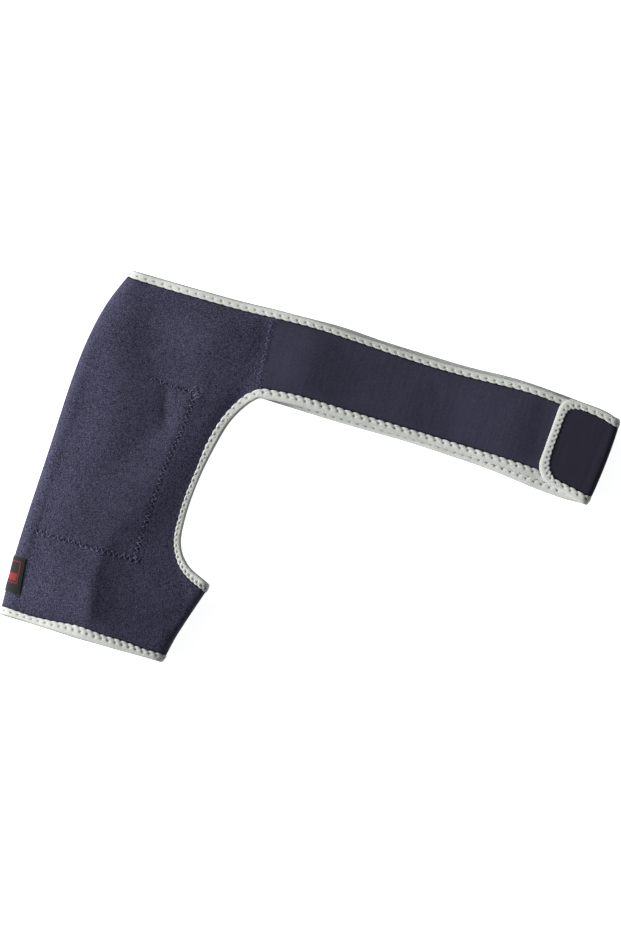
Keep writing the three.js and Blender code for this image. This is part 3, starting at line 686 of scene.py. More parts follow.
def back_strap_surface():
    """Middle surface of the back strap, from its seam round the fold to the tab, and its tapes' widths."""
    floor_lower, floor_upper, floor_sag, floor_tapes = strap_edges(BACK_STRAP)
    tab_lower, tab_upper = tab_edges()
    share = np.arange(1, FOLD_STEPS + 1) / FOLD_STEPS
    turns = share * math.pi
    lower = np.vstack([floor_lower, fold_edge("lower", turns), tab_lower])
    upper = np.vstack([floor_upper, fold_edge("upper", turns), tab_upper])
    sag = np.concatenate([floor_sag, np.zeros(len(turns) + len(tab_lower))])
    fold_tapes = floor_tapes[-1] + (FOLD_TAPES - floor_tapes[-1]) * share[:, None]
    from_bend = np.linalg.norm(tab_upper - tab_upper[0], axis=1) / FOLD_NARROWING
    tab_tapes = FOLD_TAPES + (TAB_TAPES - FOLD_TAPES) * smooth_step(from_bend)[:, None]
    tapes = np.vstack([floor_tapes, fold_tapes, tab_tapes])
    grid = strap_grid(lower, upper, sag, tapes, relief=0.0)
    bow_fold(grid)
    crease_tab(grid[-len(tab_lower) :])
    return grid, tapes


def upright_at_seam(normals):
    """Outward directions at the seam, turned so that both cut faces there stand parallel."""
    across = unit(np.array([SEAM_TOP[1] - SEAM_FOOT[1], SEAM_FOOT[0] - SEAM_TOP[0], 0.0]))
    return unit(normals - (normals @ across)[..., None] * across)


front_edges = strap_edges(FRONT_STRAP)
front_tapes = front_edges[-1]
front_strap_grid = strap_grid(*front_edges, relief=1.0)
front_strap_normals = -grid_normals(front_strap_grid)
front_strap_normals[0] = upright_at_seam(front_strap_normals[0])
seam_columns = np.flatnonzero(at_seam(front_lines["edge"]))
body_normals[-1, seam_columns] = upright_at_seam(body_normals[-1, seam_columns])
back_strap_grid, back_tapes = back_strap_surface()
back_strap_normals = grid_normals(back_strap_grid)

# Cloth is pressed thin under a tape: what is left at the cut edge, half way in and at the inner side
PRESSED = np.array([0.55, 0.85, 1.0])
UNDER_TAPE = len(PRESSED)

body_edges = np.concatenate([front_lines["edge"], back_lines["edge"][-2:0:-1]])
bound = ~at_seam(body_edges)
body_pressed = np.ones(body_grid.shape[:2])
body_pressed[:UNDER_TAPE] = PRESSED[:, None]
body_pressed[-UNDER_TAPE:] = np.where(bound, PRESSED[::-1, None], 1.0)


def strap_pressed(grid):
    """Share of a strap's thickness that is left under the tapes along it."""
    share = np.ones(grid.shape[:2])
    share[:, :UNDER_TAPE] = PRESSED
    share[:, -UNDER_TAPE:] = PRESSED[::-1]
    return share


front_strap_pressed = strap_pressed(front_strap_grid)
tab_end_middle = back_strap_grid[-1:].mean(axis=1, keepdims=True)
from_tab_end = np.linalg.norm(back_strap_grid - tab_end_middle, axis=2).min(axis=1)
tab_end_pressed = np.interp(from_tab_end, (0, TAPE_WIDTH / 2, TAPE_WIDTH), PRESSED)
back_strap_pressed = np.minimum(strap_pressed(back_strap_grid), tab_end_pressed[:, None])


# Meshes

def in_frame(points):
    """Plan points in the frame's metres."""
    return (np.asarray(points).reshape(-1, 3) + PLAN_ORIGIN) * MILLIMETRE


def grid_faces(rows, columns, wrap=False, first=0):
    """Four-sided faces of a grid of points."""
    index = first + np.arange(rows * columns).reshape(rows, columns)
    if wrap:
        index = np.concatenate([index, index[:, :1]], axis=1)
    corners = (index[:-1, :-1], index[:-1, 1:], index[1:, 1:], index[1:, :-1])
    return np.stack([corner.ravel() for corner in corners], axis=1)


def enclosed_volume(points, faces):
    """Signed volume inside a closed mesh of four-sided faces."""
    a, b, c, d = (points[faces[:, i]] for i in range(4))
    return np.sum(a * (np.cross(b, c) + np.cross(c, d))) / 6


def sharpen(mesh, walls):
    """Marks the edges of some faces as sharp."""
    ends = np.empty(2 * len(mesh.edges), np.int32)
    mesh.edges.foreach_get("vertices", ends)
    edges = np.sort(ends.reshape(-1, 2), axis=1)
    rims = np.sort(np.stack([walls, np.roll(walls, -1, axis=1)], axis=-1).reshape(-1, 2), axis=1)
    weights = np.array([len(mesh.vertices), 1], np.int64)
    sharp = np.isin(edges @ weights, rims @ weights)
    mesh.attributes.new("sharp_edge", "BOOLEAN", "EDGE").data.foreach_set("value", sharp)


def make_piece(name, points, faces, finish, uv=None, shade=None, walls=0):
    """An object at the origin, smooth but for the rims of its walls, which are the last of its faces."""
    places = in_frame(points)
    faces = np.asarray(faces)
    if enclosed_volume(places, faces) < 0:
        faces = faces[:, ::-1]
    mesh = bpy.data.meshes.new(name)
    mesh.from_pydata(places.tolist(), [], faces.tolist())
    mesh.polygons.foreach_set("use_smooth", np.ones(len(faces), bool))
    sharpen(mesh, faces[len(faces) - walls :])
    if uv is not None:
        corners = np.asarray(uv, float)[faces.ravel()]
        mesh.uv_layers.new(name="cloth").data.foreach_set("uv", corners.ravel())
    if shade is not None:
        # A point attribute of painted shade beside tapes, along the sewing and round the tape's turns,
        # together with the depth of the tape's needle holes
        depth = mesh.attributes.new("needle_holes_and_painted_shade", "FLOAT", "POINT")
        depth.data.foreach_set("value", np.asarray(shade, float).ravel())
    mesh.materials.append(finish)
    mesh.update()
    piece = bpy.data.objects.new(name, mesh)
    bpy.context.collection.objects.link(piece)
    return piece


def sheet_mesh(grid, normals, thickness, loop=False, lift=0.0, pressed=1.0):
    """Points and faces of a closed sheet on a grid, and how many of its last faces are its walls."""
    rows, columns = grid.shape[:2]
    count = rows * columns
    half = thickness / 2 * np.broadcast_to(pressed, (rows, columns))[..., None]
    outside = grid + normals * (lift + half)
    inside = grid + normals * (lift - half)
    points = np.concatenate([outside.reshape(-1, 3), inside.reshape(-1, 3)])
    index = np.arange(count).reshape(rows, columns)
    if loop:
        rims = [index[0], index[-1]]
    else:
        rims = [np.concatenate([index[0, :-1], index[:-1, -1], index[-1, :0:-1], index[:0:-1, 0]])]
    faces = [grid_faces(rows, columns, loop), grid_faces(rows, columns, loop, count)[:, ::-1]]
    for number, rim in enumerate(rims):
        following = np.roll(rim, -1)
        wall = np.stack([rim, rim + count, following + count, following], axis=1)
        faces.append(wall[:, ::-1] if number else wall)
    return points, np.vstack(faces), sum(len(rim) for rim in rims)


# Tapes

TAPE_STEP = 1.1  # along a tape, between sections
TAPE_SMOOTH = 2.3  # rounding of a tape's course, in steps
TAPE_TAPER = (0.85, 0.25)  # share of its height at the cut edge, and what it gains to the inner side
TAPE_LEAST = 0.12  # height where it is thinnest
ROLL_FROM = 0.84  # share of the width where the inner side starts to roll down
ROLL_RUN = 0.17
ROLL_LEAST = 0.12  # share of the height that is left there
HOLE_ACROSS = TAPE_WIDTH / 2  # of the needle holes, from the cut edge
HOLE_SIZE = 0.9
HOLE_DEPTH = 0.65

# Slits lean back from each hole to the inner side, and fainter ones lead on to the next hole
SLIT_LEAN = 2.5  # how far a slit runs back along the tape
SLIT_WIDTH = 0.55
SLIT_DEPTH = 0.42
SLIT_SHADE = 0.5
SLIT_ACROSS = 0.86  # millimetres across a leaning slit to each along the tape
SLIT_START = (5, 0.5)  # how fast a slit sets in past the holes, and how far it has set in there
RETURN_WIDTH = 0.6
RETURN_SHARE = 0.4  # of a slit's depth
RETURN_ACROSS = 0.58
PUFF = 0.12  # height of the tape's puffs between the slits
PUFF_LEAN = 0.3  # share of a pitch, to the inner side
PUFF_START = (3, 0.6)

# The inner side is scalloped, with a notch at the end of each slit
SCALLOP = 0.8
SCALLOP_LEAST = 0.45  # of a tape that isn't slit
NOTCH_WIDTH = 1.5
NOTCH_MIDDLE = 0.4

FOLD_SHADE = 0.34  # of a tape where it turns round the outer fold
FOLD_SHADE_REACH = 34.0
TAB_SHADE = 0.3  # of the tape round the tab's end
TAB_SHADE_REACH = 18.0
NOSE_SHADE = 1.2  # of the outermost line of a tape that isn't slit
NOSE_SHADE_FROM = 0.5  # share of the way out where that starts
NOSE_FROM = 2.0  # from the cut edge in to where the tape starts to turn down

# Lines along a tape: over each side, round its nose and in the slot that takes the cloth
SIDE_ACROSS = np.array(
    [1.0, 0.985, 0.95, 0.89, 0.81, 0.73, 0.65, 0.58, 0.52, 0.46, 0.38, NOSE_FROM / TAPE_WIDTH]
)
NOSE_TURNS = np.radians([72, 54, 36, 18, 0, -18, -36, -54, -72])
SLOT_LINES = ((0.99, -1, 0), (0.5, -1, 0), (0.0, -1, EDGE_CUT), (0.0, 1, EDGE_CUT), (0.99, 1, 0))
# Fans that close a tape's end: a point of the slot, the outside points that it sees, and the next one
TAPE_FANS = ((37, 0, 12, 36), (36, 13, 15, 35), (35, 16, 20, 34), (34, 21, 25, 33), (33, 26, 32, None))

# Stretches of the edge tape, in sewing order: first and last distance between needle holes, and slit depth
TAPE_STRETCHES = {
    "front strap top": (8.6, 8.6, 0.6),
    "neck front": (8.7, 8.7, 0.2),
    "neck back": (8.7, 8.7, 0.2),
    "back strap top": (8.5, 8.5, 0.6),
    "tab": (5.6, 5.6, 0.85),
    "back strap foot": (8.4, 8.4, 0.9),
    "underarm back": (8.4, 8.4, 0.6),
    "underarm front": (4.6, 8.6, 0.9),
    "front strap foot": (8.5, 8.5, 0.9),
}
HEM_STRETCH = (7.2, 7.2, 0.6)
HEM_SLITS = ((-10, 30, 80, 120), (0.12, 0.4, 0.85, 0.95))  # depth of the front's slits across the plan
TAB_ROUNDING = 50  # passes that round the inner side of the tape at the tab's corners
SEAM_SKIP = 2.0  # from the seam to the first line that the underarm's tape follows

# Columns of a tape's stations: the cut edge, the inner side, their normals, hole pitch and slit depth
CUT_EDGE = slice(0, 3)
INNER_SIDE = slice(3, 6)
EDGE_NORMAL = slice(6, 9)
INNER_NORMAL = slice(9, 12)
PITCH = 12
SLIT = 13


def stations(stretch, grid, normals, edge, inner):
    """Stations along a stretch, at the places of its cut edge and its inner side on a grid."""
    first_pitch, last_pitch, slit = stretch
    along = distances(grid[edge])
    pitch = first_pitch + (last_pitch - first_pitch) * along / along[-1]
    parts = [grid[edge], grid[inner], normals[edge], normals[inner]]
    return np.hstack([*parts, pitch[:, None], np.full((len(along), 1), slit)])


def body_stations(stretch, columns):
    """Stations at the shaped edge of the body panel."""
    columns = np.asarray(columns) % body_grid.shape[1]
    edge = np.full(len(columns), body_grid.shape[0] - 1)
    return stations(stretch, body_grid, body_normals, (edge, columns), (edge - TAPE_CELLS, columns))


def strap_stations(stretch, grid, normals, rows, upper):
    """Stations at one long edge of a strap."""
    last = grid.shape[1] - 1
    edge = np.full(len(rows), last if upper else 0)
    inner = np.full(len(rows), last - TAPE_CELLS if upper else TAPE_CELLS)
    return stations(stretch, grid, normals, (rows, edge), (rows, inner))


def tab_stations(stretch):
    """Stations round the tab's end, square to its rounded outline."""
    _, pitch, slit = stretch
    rows = np.arange(len(back_strap_grid) - CORNER_STEPS - 1, len(back_strap_grid))
    end = back_strap_grid[-1, ::-1][1:-1]
    line = np.vstack([back_strap_grid[rows, -1], end, back_strap_grid[rows[::-1], 0]])
    line[:, 2] = TAB_HEIGHT
    up = np.tile([0.0, 0.0, 1.0], (len(line), 1))
    inner = line + unit(np.cross(up, np.gradient(line, axis=0))) * TAPE_WIDTH
    for _ in range(TAB_ROUNDING):
        inner[1:-1] = (inner[:-2] + 2 * inner[1:-1] + inner[2:]) / 4
    return np.hstack([line, inner, up, up, np.tile([pitch, slit], (len(line), 1))])


def body_columns(lines, low, high, back):
    """Columns of the body panel whose lines meet the shaped edge between two distances, in that order."""
    found = np.flatnonzero((lines["edge"] > low) & (lines["edge"] < high))
    return body_grid.shape[1] - found if back else found


def edge_tape_stations():
    """Stations of the one tape round the shaped edge, from the front strap's upper end to its lower end."""
    past = 1.0  # takes in the lines on the folds
    neck = (-past, NECK_LENGTH - CORNER_RUN)
    underarm = (SEAM_FOOT_AT + SEAM_SKIP, EDGE_LENGTH + past)
    sides = ((front_lines, False), (back_lines, True))
    front_neck, back_neck = (body_columns(lines, *neck, back) for lines, back in sides)
    front_arm, back_arm = (body_columns(lines, *underarm, back) for lines, back in sides)
    front_strap = (front_strap_grid, front_strap_normals)
    front_rows = np.arange(len(front_strap_grid))
    back_strap = (back_strap_grid, back_strap_normals)
    back_rows = np.arange(len(back_strap_grid) - CORNER_STEPS - 1)
    kind = TAPE_STRETCHES
    return np.vstack([
        strap_stations(kind["front strap top"], *front_strap, front_rows[::-1], True),
        body_stations(kind["neck front"], front_neck[::-1]),
        body_stations(kind["neck back"], back_neck[1:]),
        strap_stations(kind["back strap top"], *back_strap, back_rows, True),
        tab_stations(kind["tab"]),
        strap_stations(kind["back strap foot"], *back_strap, back_rows[::-1], False),
        body_stations(kind["underarm back"], back_arm[:-1]),
        body_stations(kind["underarm front"], front_arm[::-1]),
        strap_stations(kind["front strap foot"], *front_strap, front_rows, False),
    ])


def hem_tape_stations():
    """Stations of the closed tape round the hem."""
    columns = np.arange(body_grid.shape[1])
    first = np.zeros(len(columns), int)
    rows = stations(HEM_STRETCH, body_grid, body_normals, (first, columns), (first + TAPE_CELLS, columns))
    front = columns < len(front_lines["hem"])
    rows[:, SLIT] = np.where(front, np.interp(rows[:, 0], *HEM_SLITS), rows[:, SLIT])
    return rows


def even_stations(rows, loop):
    """Stations at even steps along a tape, with its course rounded a little."""
    if loop:
        rows = np.vstack([rows, rows[:1]])
    along = distances((rows[:, CUT_EDGE] + rows[:, INNER_SIDE]) / 2)
    count = round(along[-1] / TAPE_STEP)
    even = np.linspace(0, along[-1], count + 1)
    rows = np.stack([np.interp(even, along, column) for column in rows.T], axis=1)
    if loop:
        rows = rows[:-1]
    reach = math.ceil(3 * TAPE_SMOOTH)
    weights = np.exp(-(np.arange(-reach, reach + 1) ** 2) / (2 * TAPE_SMOOTH**2))
    padded = np.pad(rows, ((reach, reach), (0, 0)), mode="wrap" if loop else "edge")
    rows = np.stack([np.convolve(column, weights / weights.sum(), "valid") for column in padded.T], axis=1)
    for normal in (EDGE_NORMAL, INNER_NORMAL):
        rows[:, normal] = unit(rows[:, normal])
    return rows


def sewing_phase(rows, loop):
    """Count of needle holes along a tape, with a fraction between them."""
    spots = (rows[:, CUT_EDGE] + rows[:, INNER_SIDE]) / 2
    beats = np.linalg.norm(np.diff(spots, axis=0), axis=1) / rows[1:, PITCH]
    phase = np.concatenate([[0.0], np.cumsum(beats)])
    if loop:
        closing = np.linalg.norm(spots[0] - spots[-1]) / rows[0, PITCH]
        whole = round(phase[-1] + closing)
        phase *= whole / (phase[-1] + closing)
    return phase


def wrapped(along, pitch):
    """Distance along a tape from the nearest repeat."""
    return (along / pitch + 0.5) % 1 * pitch - 0.5 * pitch


def set_in(share, start):
    """How far slits or puffs have set in, at shares of the way from the holes to the inner side."""
    speed, at_holes = start
    return smooth_step(share * speed + at_holes)


def tape_relief(across, phase, pitch, slit):
    """Height of a tape over the cloth, and the darkening of its needle holes and slits, partly the cloth
    showing through and partly painted shade, at shares of its width across.
    """
    along = phase * pitch
    beyond = across * TAPE_WIDTH - HOLE_ACROSS
    share = beyond / (TAPE_WIDTH - HOLE_ACROSS)
    hole = bell(np.hypot(wrapped(along, pitch), beyond), HOLE_SIZE)
    slanted = wrapped(along + SLIT_LEAN * share, pitch) * SLIT_ACROSS
    returning = wrapped(along - (pitch - SLIT_LEAN) * share, pitch) * RETURN_ACROSS
    both = bell(slanted, SLIT_WIDTH) + RETURN_SHARE * bell(returning, RETURN_WIDTH)
    groove = slit * set_in(share, SLIT_START) * both
    roll = np.sqrt(np.clip(1 - np.clip((across - ROLL_FROM) / ROLL_RUN, 0, 1) ** 2, 0, 1))
    puff = PUFF * np.cos(2 * math.pi * (phase + 0.5 + PUFF_LEAN * share)) * slit * set_in(share, PUFF_START)
    body = TAPE_THICK * (TAPE_TAPER[0] + TAPE_TAPER[1] * across) + puff
    high = (body - HOLE_DEPTH * hole - SLIT_DEPTH * groove) * (ROLL_LEAST + (1 - ROLL_LEAST) * roll)
    return np.maximum(high, TAPE_LEAST), np.clip(hole + SLIT_SHADE * groove, 0, 1)


def cloth_half(across):
    """Half the thickness of the cloth under a tape, at shares of the tape's width across."""
    return FOAM / 2 * np.interp(across, (0, 0.5, 1), PRESSED)


def tape_reach(phase, pitch, slit):
    """Width of a tape's scalloped inner side, as a share of its plain width."""
    notch = bell(wrapped(phase * pitch + SLIT_LEAN, pitch), NOTCH_WIDTH)
    scallop = SCALLOP * (SCALLOP_LEAST + (1 - SCALLOP_LEAST) * slit)
    return 1 + scallop * (NOTCH_MIDDLE - notch) / TAPE_WIDTH


def tape_shade(rows):
    """Shade of a tape where it turns round the outer fold and round the tab's end."""
    plan = rows[:, :2]
    from_fold = np.min([np.linalg.norm(plan - end, axis=1) for end in (HEM_OUTER, NECK_CORNER)], axis=0)
    from_tab, _ = segment_distance(plan, TAB_END["lower"], TAB_END["upper"])
    at_fold = FOLD_SHADE * (1 - smooth_step(from_fold / FOLD_SHADE_REACH))
    return at_fold + TAB_SHADE * (1 - smooth_step(from_tab / TAB_SHADE_REACH))


def tape_spots(rows, across, rise, out=0.0):
    """Points at a share of a tape's width, a height over the middle surface and a reach past the edge."""
    edge, inner = rows[:, CUT_EDGE], rows[:, INNER_SIDE]
    edge_up, inner_up = rows[:, EDGE_NORMAL], rows[:, INNER_NORMAL]
    share = np.broadcast_to(across, len(rows))[:, None]
    rise = np.broadcast_to(rise, len(rows))[:, None]
    up = unit(edge_up + (inner_up - edge_up) * share)
    return edge + (inner - edge) * share + up * rise + unit(edge - inner) * out


def tape_mesh(rows, phase, loop):
    """Points, faces, flat places and darkening of a tape folded over a cut edge: its needle holes, partly
    real, and painted shade.
    """
    pitch, slit = rows[:, PITCH], rows[:, SLIT]
    reach = tape_reach(phase, pitch, slit)
    turned = tape_shade(rows)
    ring, flat, depth = [], [], []

    # sewn is the darkening of the needle holes, partly real, with painted shade in the slits and at the
    # nose; turned adds painted shade round the outer fold and the tab's end
    def add(across, rise, out=0.0, sewn=0.0, v=0.0):
        ring.append(tape_spots(rows, across, rise, out))
        flat.append(np.column_stack([phase * pitch, np.broadcast_to(v, len(rows))]))
        depth.append(np.minimum(sewn + turned, 1))

    def add_side(face):
        for share in SIDE_ACROSS[::face]:
            high, sewn = tape_relief(share, phase, pitch, slit)
            rise = face * (cloth_half(share) + high)
            add(share * reach, rise, sewn=sewn, v=face * (TAPE_NOSE + TAPE_WIDTH * share))

    def add_nose():
        radius = NOSE_FROM + TAPE_NOSE
        high = cloth_half(SIDE_ACROSS[-1]) + tape_relief(SIDE_ACROSS[-1], phase, pitch, slit)[0]
        for turn in NOSE_TURNS:
            outward = math.cos(turn)
            outermost = smooth_step((outward - NOSE_SHADE_FROM) / (1 - NOSE_SHADE_FROM))
            shade = NOSE_SHADE * (1 - slit) * outermost
            across = (NOSE_FROM - radius * outward) / TAPE_WIDTH
            add(across, high * math.sin(turn), sewn=shade, v=radius * math.sin(turn))

    add_side(1)
    add_nose()
    add_side(-1)
    for share, side, out in SLOT_LINES:
        add(share * reach, side * (cloth_half(share) + SEAT), out)
    points = np.stack(ring, axis=1)
    count, sides = points.shape[:2]
    faces = [grid_faces(count, sides, wrap=True)]
    if loop:
        index = np.arange(sides)
        following = np.roll(index, -1)
        last = (count - 1) * sides
        faces.append(np.stack([last + index, last + following, following, index], axis=1))
    else:
        faces.append(tape_ends(count, sides))
    flat = np.stack(flat, axis=1).reshape(-1, 2)
    return points.reshape(-1, 3), np.vstack(faces), flat, np.stack(depth, axis=1).ravel()


def tape_ends(count, sides):
    """Faces that close the two ends of a tape, in fans between its outside and its slot."""
    cap = []
    for hub, first, last, next_hub in TAPE_FANS:
        cap.extend((hub, i, i + 1, i + 2) for i in range(first, last, 2))
        if next_hub is not None:
            cap.append((hub, last, last + 1, next_hub))
    cap = np.array(cap)
    return np.vstack([cap[:, ::-1], cap + (count - 1) * sides])


# Node trees

class Socket:
    """An output of a node, for use in expressions."""

    def __init__(self, tree, output):
        self.tree = tree
        self.output = output

    def combine(self, operation, *values):
        """A Math node on some values."""
        node = self.tree.nodes.new("ShaderNodeMath")
        node.operation = operation
        for socket, value in zip(node.inputs, values):
            connect(self.tree, socket, value)
        return Socket(self.tree, node.outputs[0])

    def least(self, other):
        """The lower of two values."""
        return self.combine("MINIMUM", self, other)

    def __abs__(self):
        return self.combine("ABSOLUTE", self)

    def __add__(self, other):
        return self.combine("ADD", self, other)

    def __radd__(self, other):
        return self.combine("ADD", other, self)

    def __sub__(self, other):
        return self.combine("SUBTRACT", self, other)

    def __rsub__(self, other):
        return self.combine("SUBTRACT", other, self)

    def __mul__(self, other):
        return self.combine("MULTIPLY", self, other)

    def __rmul__(self, other):
        return self.combine("MULTIPLY", other, self)

    def __pow__(self, other):
        return self.combine("POWER", self, other)

    def __gt__(self, other):
        return self.combine("GREATER_THAN", self, other)

    def __lt__(self, other):
        return self.combine("LESS_THAN", self, other)


def connect(tree, socket, value):
    """Links a socket to another node's output, or sets its value."""
    if isinstance(value, Socket):
        tree.links.new(value.output, socket)
    else:
        socket.default_value = value


def find_socket(sockets, key):
    """A socket by its identifier, or by its name."""
    for socket in sockets:
        if socket.identifier == key:
            return socket
    return next(socket for socket in sockets if socket.name == key and socket.enabled)


class Nodes:
    """A node tree, and the one way to add to it."""

    def __init__(self, tree):
        self.tree = tree

    def node(self, kind, settings=None, sockets=None, output=0):
        """Adds a node, with its settings first and then its sockets, and gives one of its outputs."""
        node = self.tree.nodes.new(kind)
        for key, value in (settings or {}).items():
            setattr(node, key, value)
        for key, value in (sockets or {}).items():
            connect(self.tree, find_socket(node.inputs, key), value)
        chosen = node.outputs[output] if isinstance(output, int) else find_socket(node.outputs, output)
        return Socket(self.tree, chosen)


# Stitches, from points with a leg and an outward direction each

STITCH_INPUTS = {
    "Geometry": "NodeSocketGeometry",
    "Thread": "NodeSocketFloat",
    "Rise": "NodeSocketFloat",
    "Sink": "NodeSocketFloat",
    "Finish": "NodeSocketMaterial",
}
STITCH_POINTS = 9  # along a thread
STITCH_SIDES = 6  # round it
STITCH_FLATNESS = 4  # of its arch on top


def stitch_tree():
    """Geometry nodes that lay one arched thread on each point, along its leg."""
    tree = bpy.data.node_groups.new("laid_stitches", "GeometryNodeTree")
    for name, kind in STITCH_INPUTS.items():
        tree.interface.new_socket(name, in_out="INPUT", socket_type=kind)
    tree.interface.new_socket("Geometry", in_out="OUTPUT", socket_type="NodeSocketGeometry")
    entry = tree.nodes.new("NodeGroupInput")
    given = {name: Socket(tree, find_socket(entry.outputs, name)) for name in STITCH_INPUTS}
    node = Nodes(tree).node
    run = {"Count": STITCH_POINTS, "Start Location": (-0.5, 0, 0), "Offset": (0.5, 0, 0)}
    line = node("GeometryNodeMeshLine", {"mode": "END_POINTS"}, run)
    along = node("ShaderNodeSeparateXYZ", sockets={"Vector": node("GeometryNodeInputPosition")}, output="X")
    arch = given["Rise"] - abs(along * 2) ** STITCH_FLATNESS * (given["Rise"] + given["Sink"])
    lift = node("ShaderNodeCombineXYZ", sockets={"Z": arch})
    bent = node("GeometryNodeSetPosition", sockets={"Geometry": line, "Offset": lift})
    course = node("GeometryNodeMeshToCurve", sockets={"Mesh": bent})
    size = {"Resolution": STITCH_SIDES, "Radius": given["Thread"] * 0.5}
    circle = node("GeometryNodeCurvePrimitiveCircle", sockets=size)
    sweep = {"Curve": course, "Profile Curve": circle, "Fill Caps": True}
    thread = node("GeometryNodeCurveToMesh", sockets=sweep)
    leg, outward = (
        node("GeometryNodeInputNamedAttribute", {"data_type": "FLOAT_VECTOR"}, {"Name": name}, "Attribute")
        for name in ("leg", "outward")
    )
    axes = {"Primary Axis": leg, "Secondary Axis": outward}
    turn = node("FunctionNodeAxesToRotation", {"primary_axis": "X", "secondary_axis": "Z"}, axes)
    length = node("ShaderNodeVectorMath", {"operation": "LENGTH"}, {"Vector": leg}, "Value")
    scale = node("ShaderNodeCombineXYZ", sockets={"X": length, "Y": 1, "Z": 1})
    places = {"Points": given["Geometry"], "Instance": thread, "Rotation": turn, "Scale": scale}
    laid = node("GeometryNodeInstanceOnPoints", sockets=places)
    whole = node("GeometryNodeRealizeInstances", sockets={"Geometry": laid})
    smooth = node("GeometryNodeSetShadeSmooth", sockets={"Geometry": whole})
    finished = node("GeometryNodeSetMaterial", sockets={"Geometry": smooth, "Material": given["Finish"]})
    connect(tree, tree.nodes.new("NodeGroupOutput").inputs[0], finished)
    return tree


STITCH_TREE = stitch_tree()


def lay_stitches(name, starts, ends, outward, thread, finish):
    """A piece of laid threads, from the two ends of each in plan millimetres."""
    mesh = bpy.data.meshes.new(name)
    mesh.from_pydata(in_frame((starts + ends) / 2).tolist(), [], [])
    for attribute, values in (("leg", (ends - starts) * MILLIMETRE), ("outward", outward)):
        mesh.attributes.new(attribute, "FLOAT_VECTOR", "POINT").data.foreach_set("vector", values.ravel())
    piece = bpy.data.objects.new(name, mesh)
    bpy.context.collection.objects.link(piece)
    laying = piece.modifiers.new("laying", "NODES")
    laying.node_group = STITCH_TREE
    sizes = {"Thread": thread, "Rise": THREAD_RISE, "Sink": THREAD_SINK}
    values = {key: size * MILLIMETRE for key, size in sizes.items()}
    values["Finish"] = finish
    for item in STITCH_TREE.interface.items_tree:
        if item.in_out == "INPUT" and item.name in values:
            laying[item.identifier] = values[item.name]
    laid = bpy.data.meshes.new_from_object(piece.evaluated_get(bpy.context.evaluated_depsgraph_get()))
    piece.modifiers.clear()
    piece.data = laid
    laid.name = name
    bpy.data.meshes.remove(mesh)
    return piece


class Cloth:
    """Finds places on meshes in plan millimetres, seen from above."""

    HIGH = 300.0  # above all of them

    def __init__(self, *meshes):
        points, faces, first = [], [], 0
        for some_points, some_faces in meshes:
            points.append(some_points)
            faces.append(some_faces + first)
            first += len(some_points)
        self.tree = BVHTree.FromPolygons(np.vstack(points).tolist(), np.vstack(faces).tolist())

    def below(self, spots):
        """Points and outward directions under plan spots."""
        places, outward = [], []
        for x, y in spots:
            place, normal, _, _ = self.tree.ray_cast(Vector((x, y, self.HIGH)), Vector((0, 0, -1)))
            places.append(place if place else Vector((x, y, FOLD_HEIGHT)))
            outward.append(normal if normal and normal.z > 0 else Vector((0, 0, 1)))
        return np.array(places), np.array(outward)


def zigzag_spots(line, width, pitch):
    """Plan spots of a zigzag along a line, from side to side."""
    line = plan_curve(line) if len(line) > 2 else np.array(line, float)
    length = distances(line)[-1]
    count = max(round(length / pitch) * 2, 2)
    along = np.linspace(0, length, count + 1)
    centre = points_at(line, along)
    forward = unit(np.gradient(centre, axis=0))
    side = np.stack([-forward[:, 1], forward[:, 0]], axis=1)
    swing = np.where(np.arange(count + 1) % 2, 0.5, -0.5) * width
    return centre + side * swing[:, None]


def lay_zigzags(cloth, finish, name, lines, width, pitch, thread):
    """Zigzag sewing along plan lines, as one piece."""
    starts, ends, outward = [], [], []
    for line in lines:
        places, normals = cloth.below(zigzag_spots(line, width, pitch))
        starts.append(places[:-1])
        ends.append(places[1:])
        outward.append(unit(normals[:-1] + normals[1:]))
    return lay_stitches(name, np.vstack(starts), np.vstack(ends), np.vstack(outward), thread, finish)


# Finishes

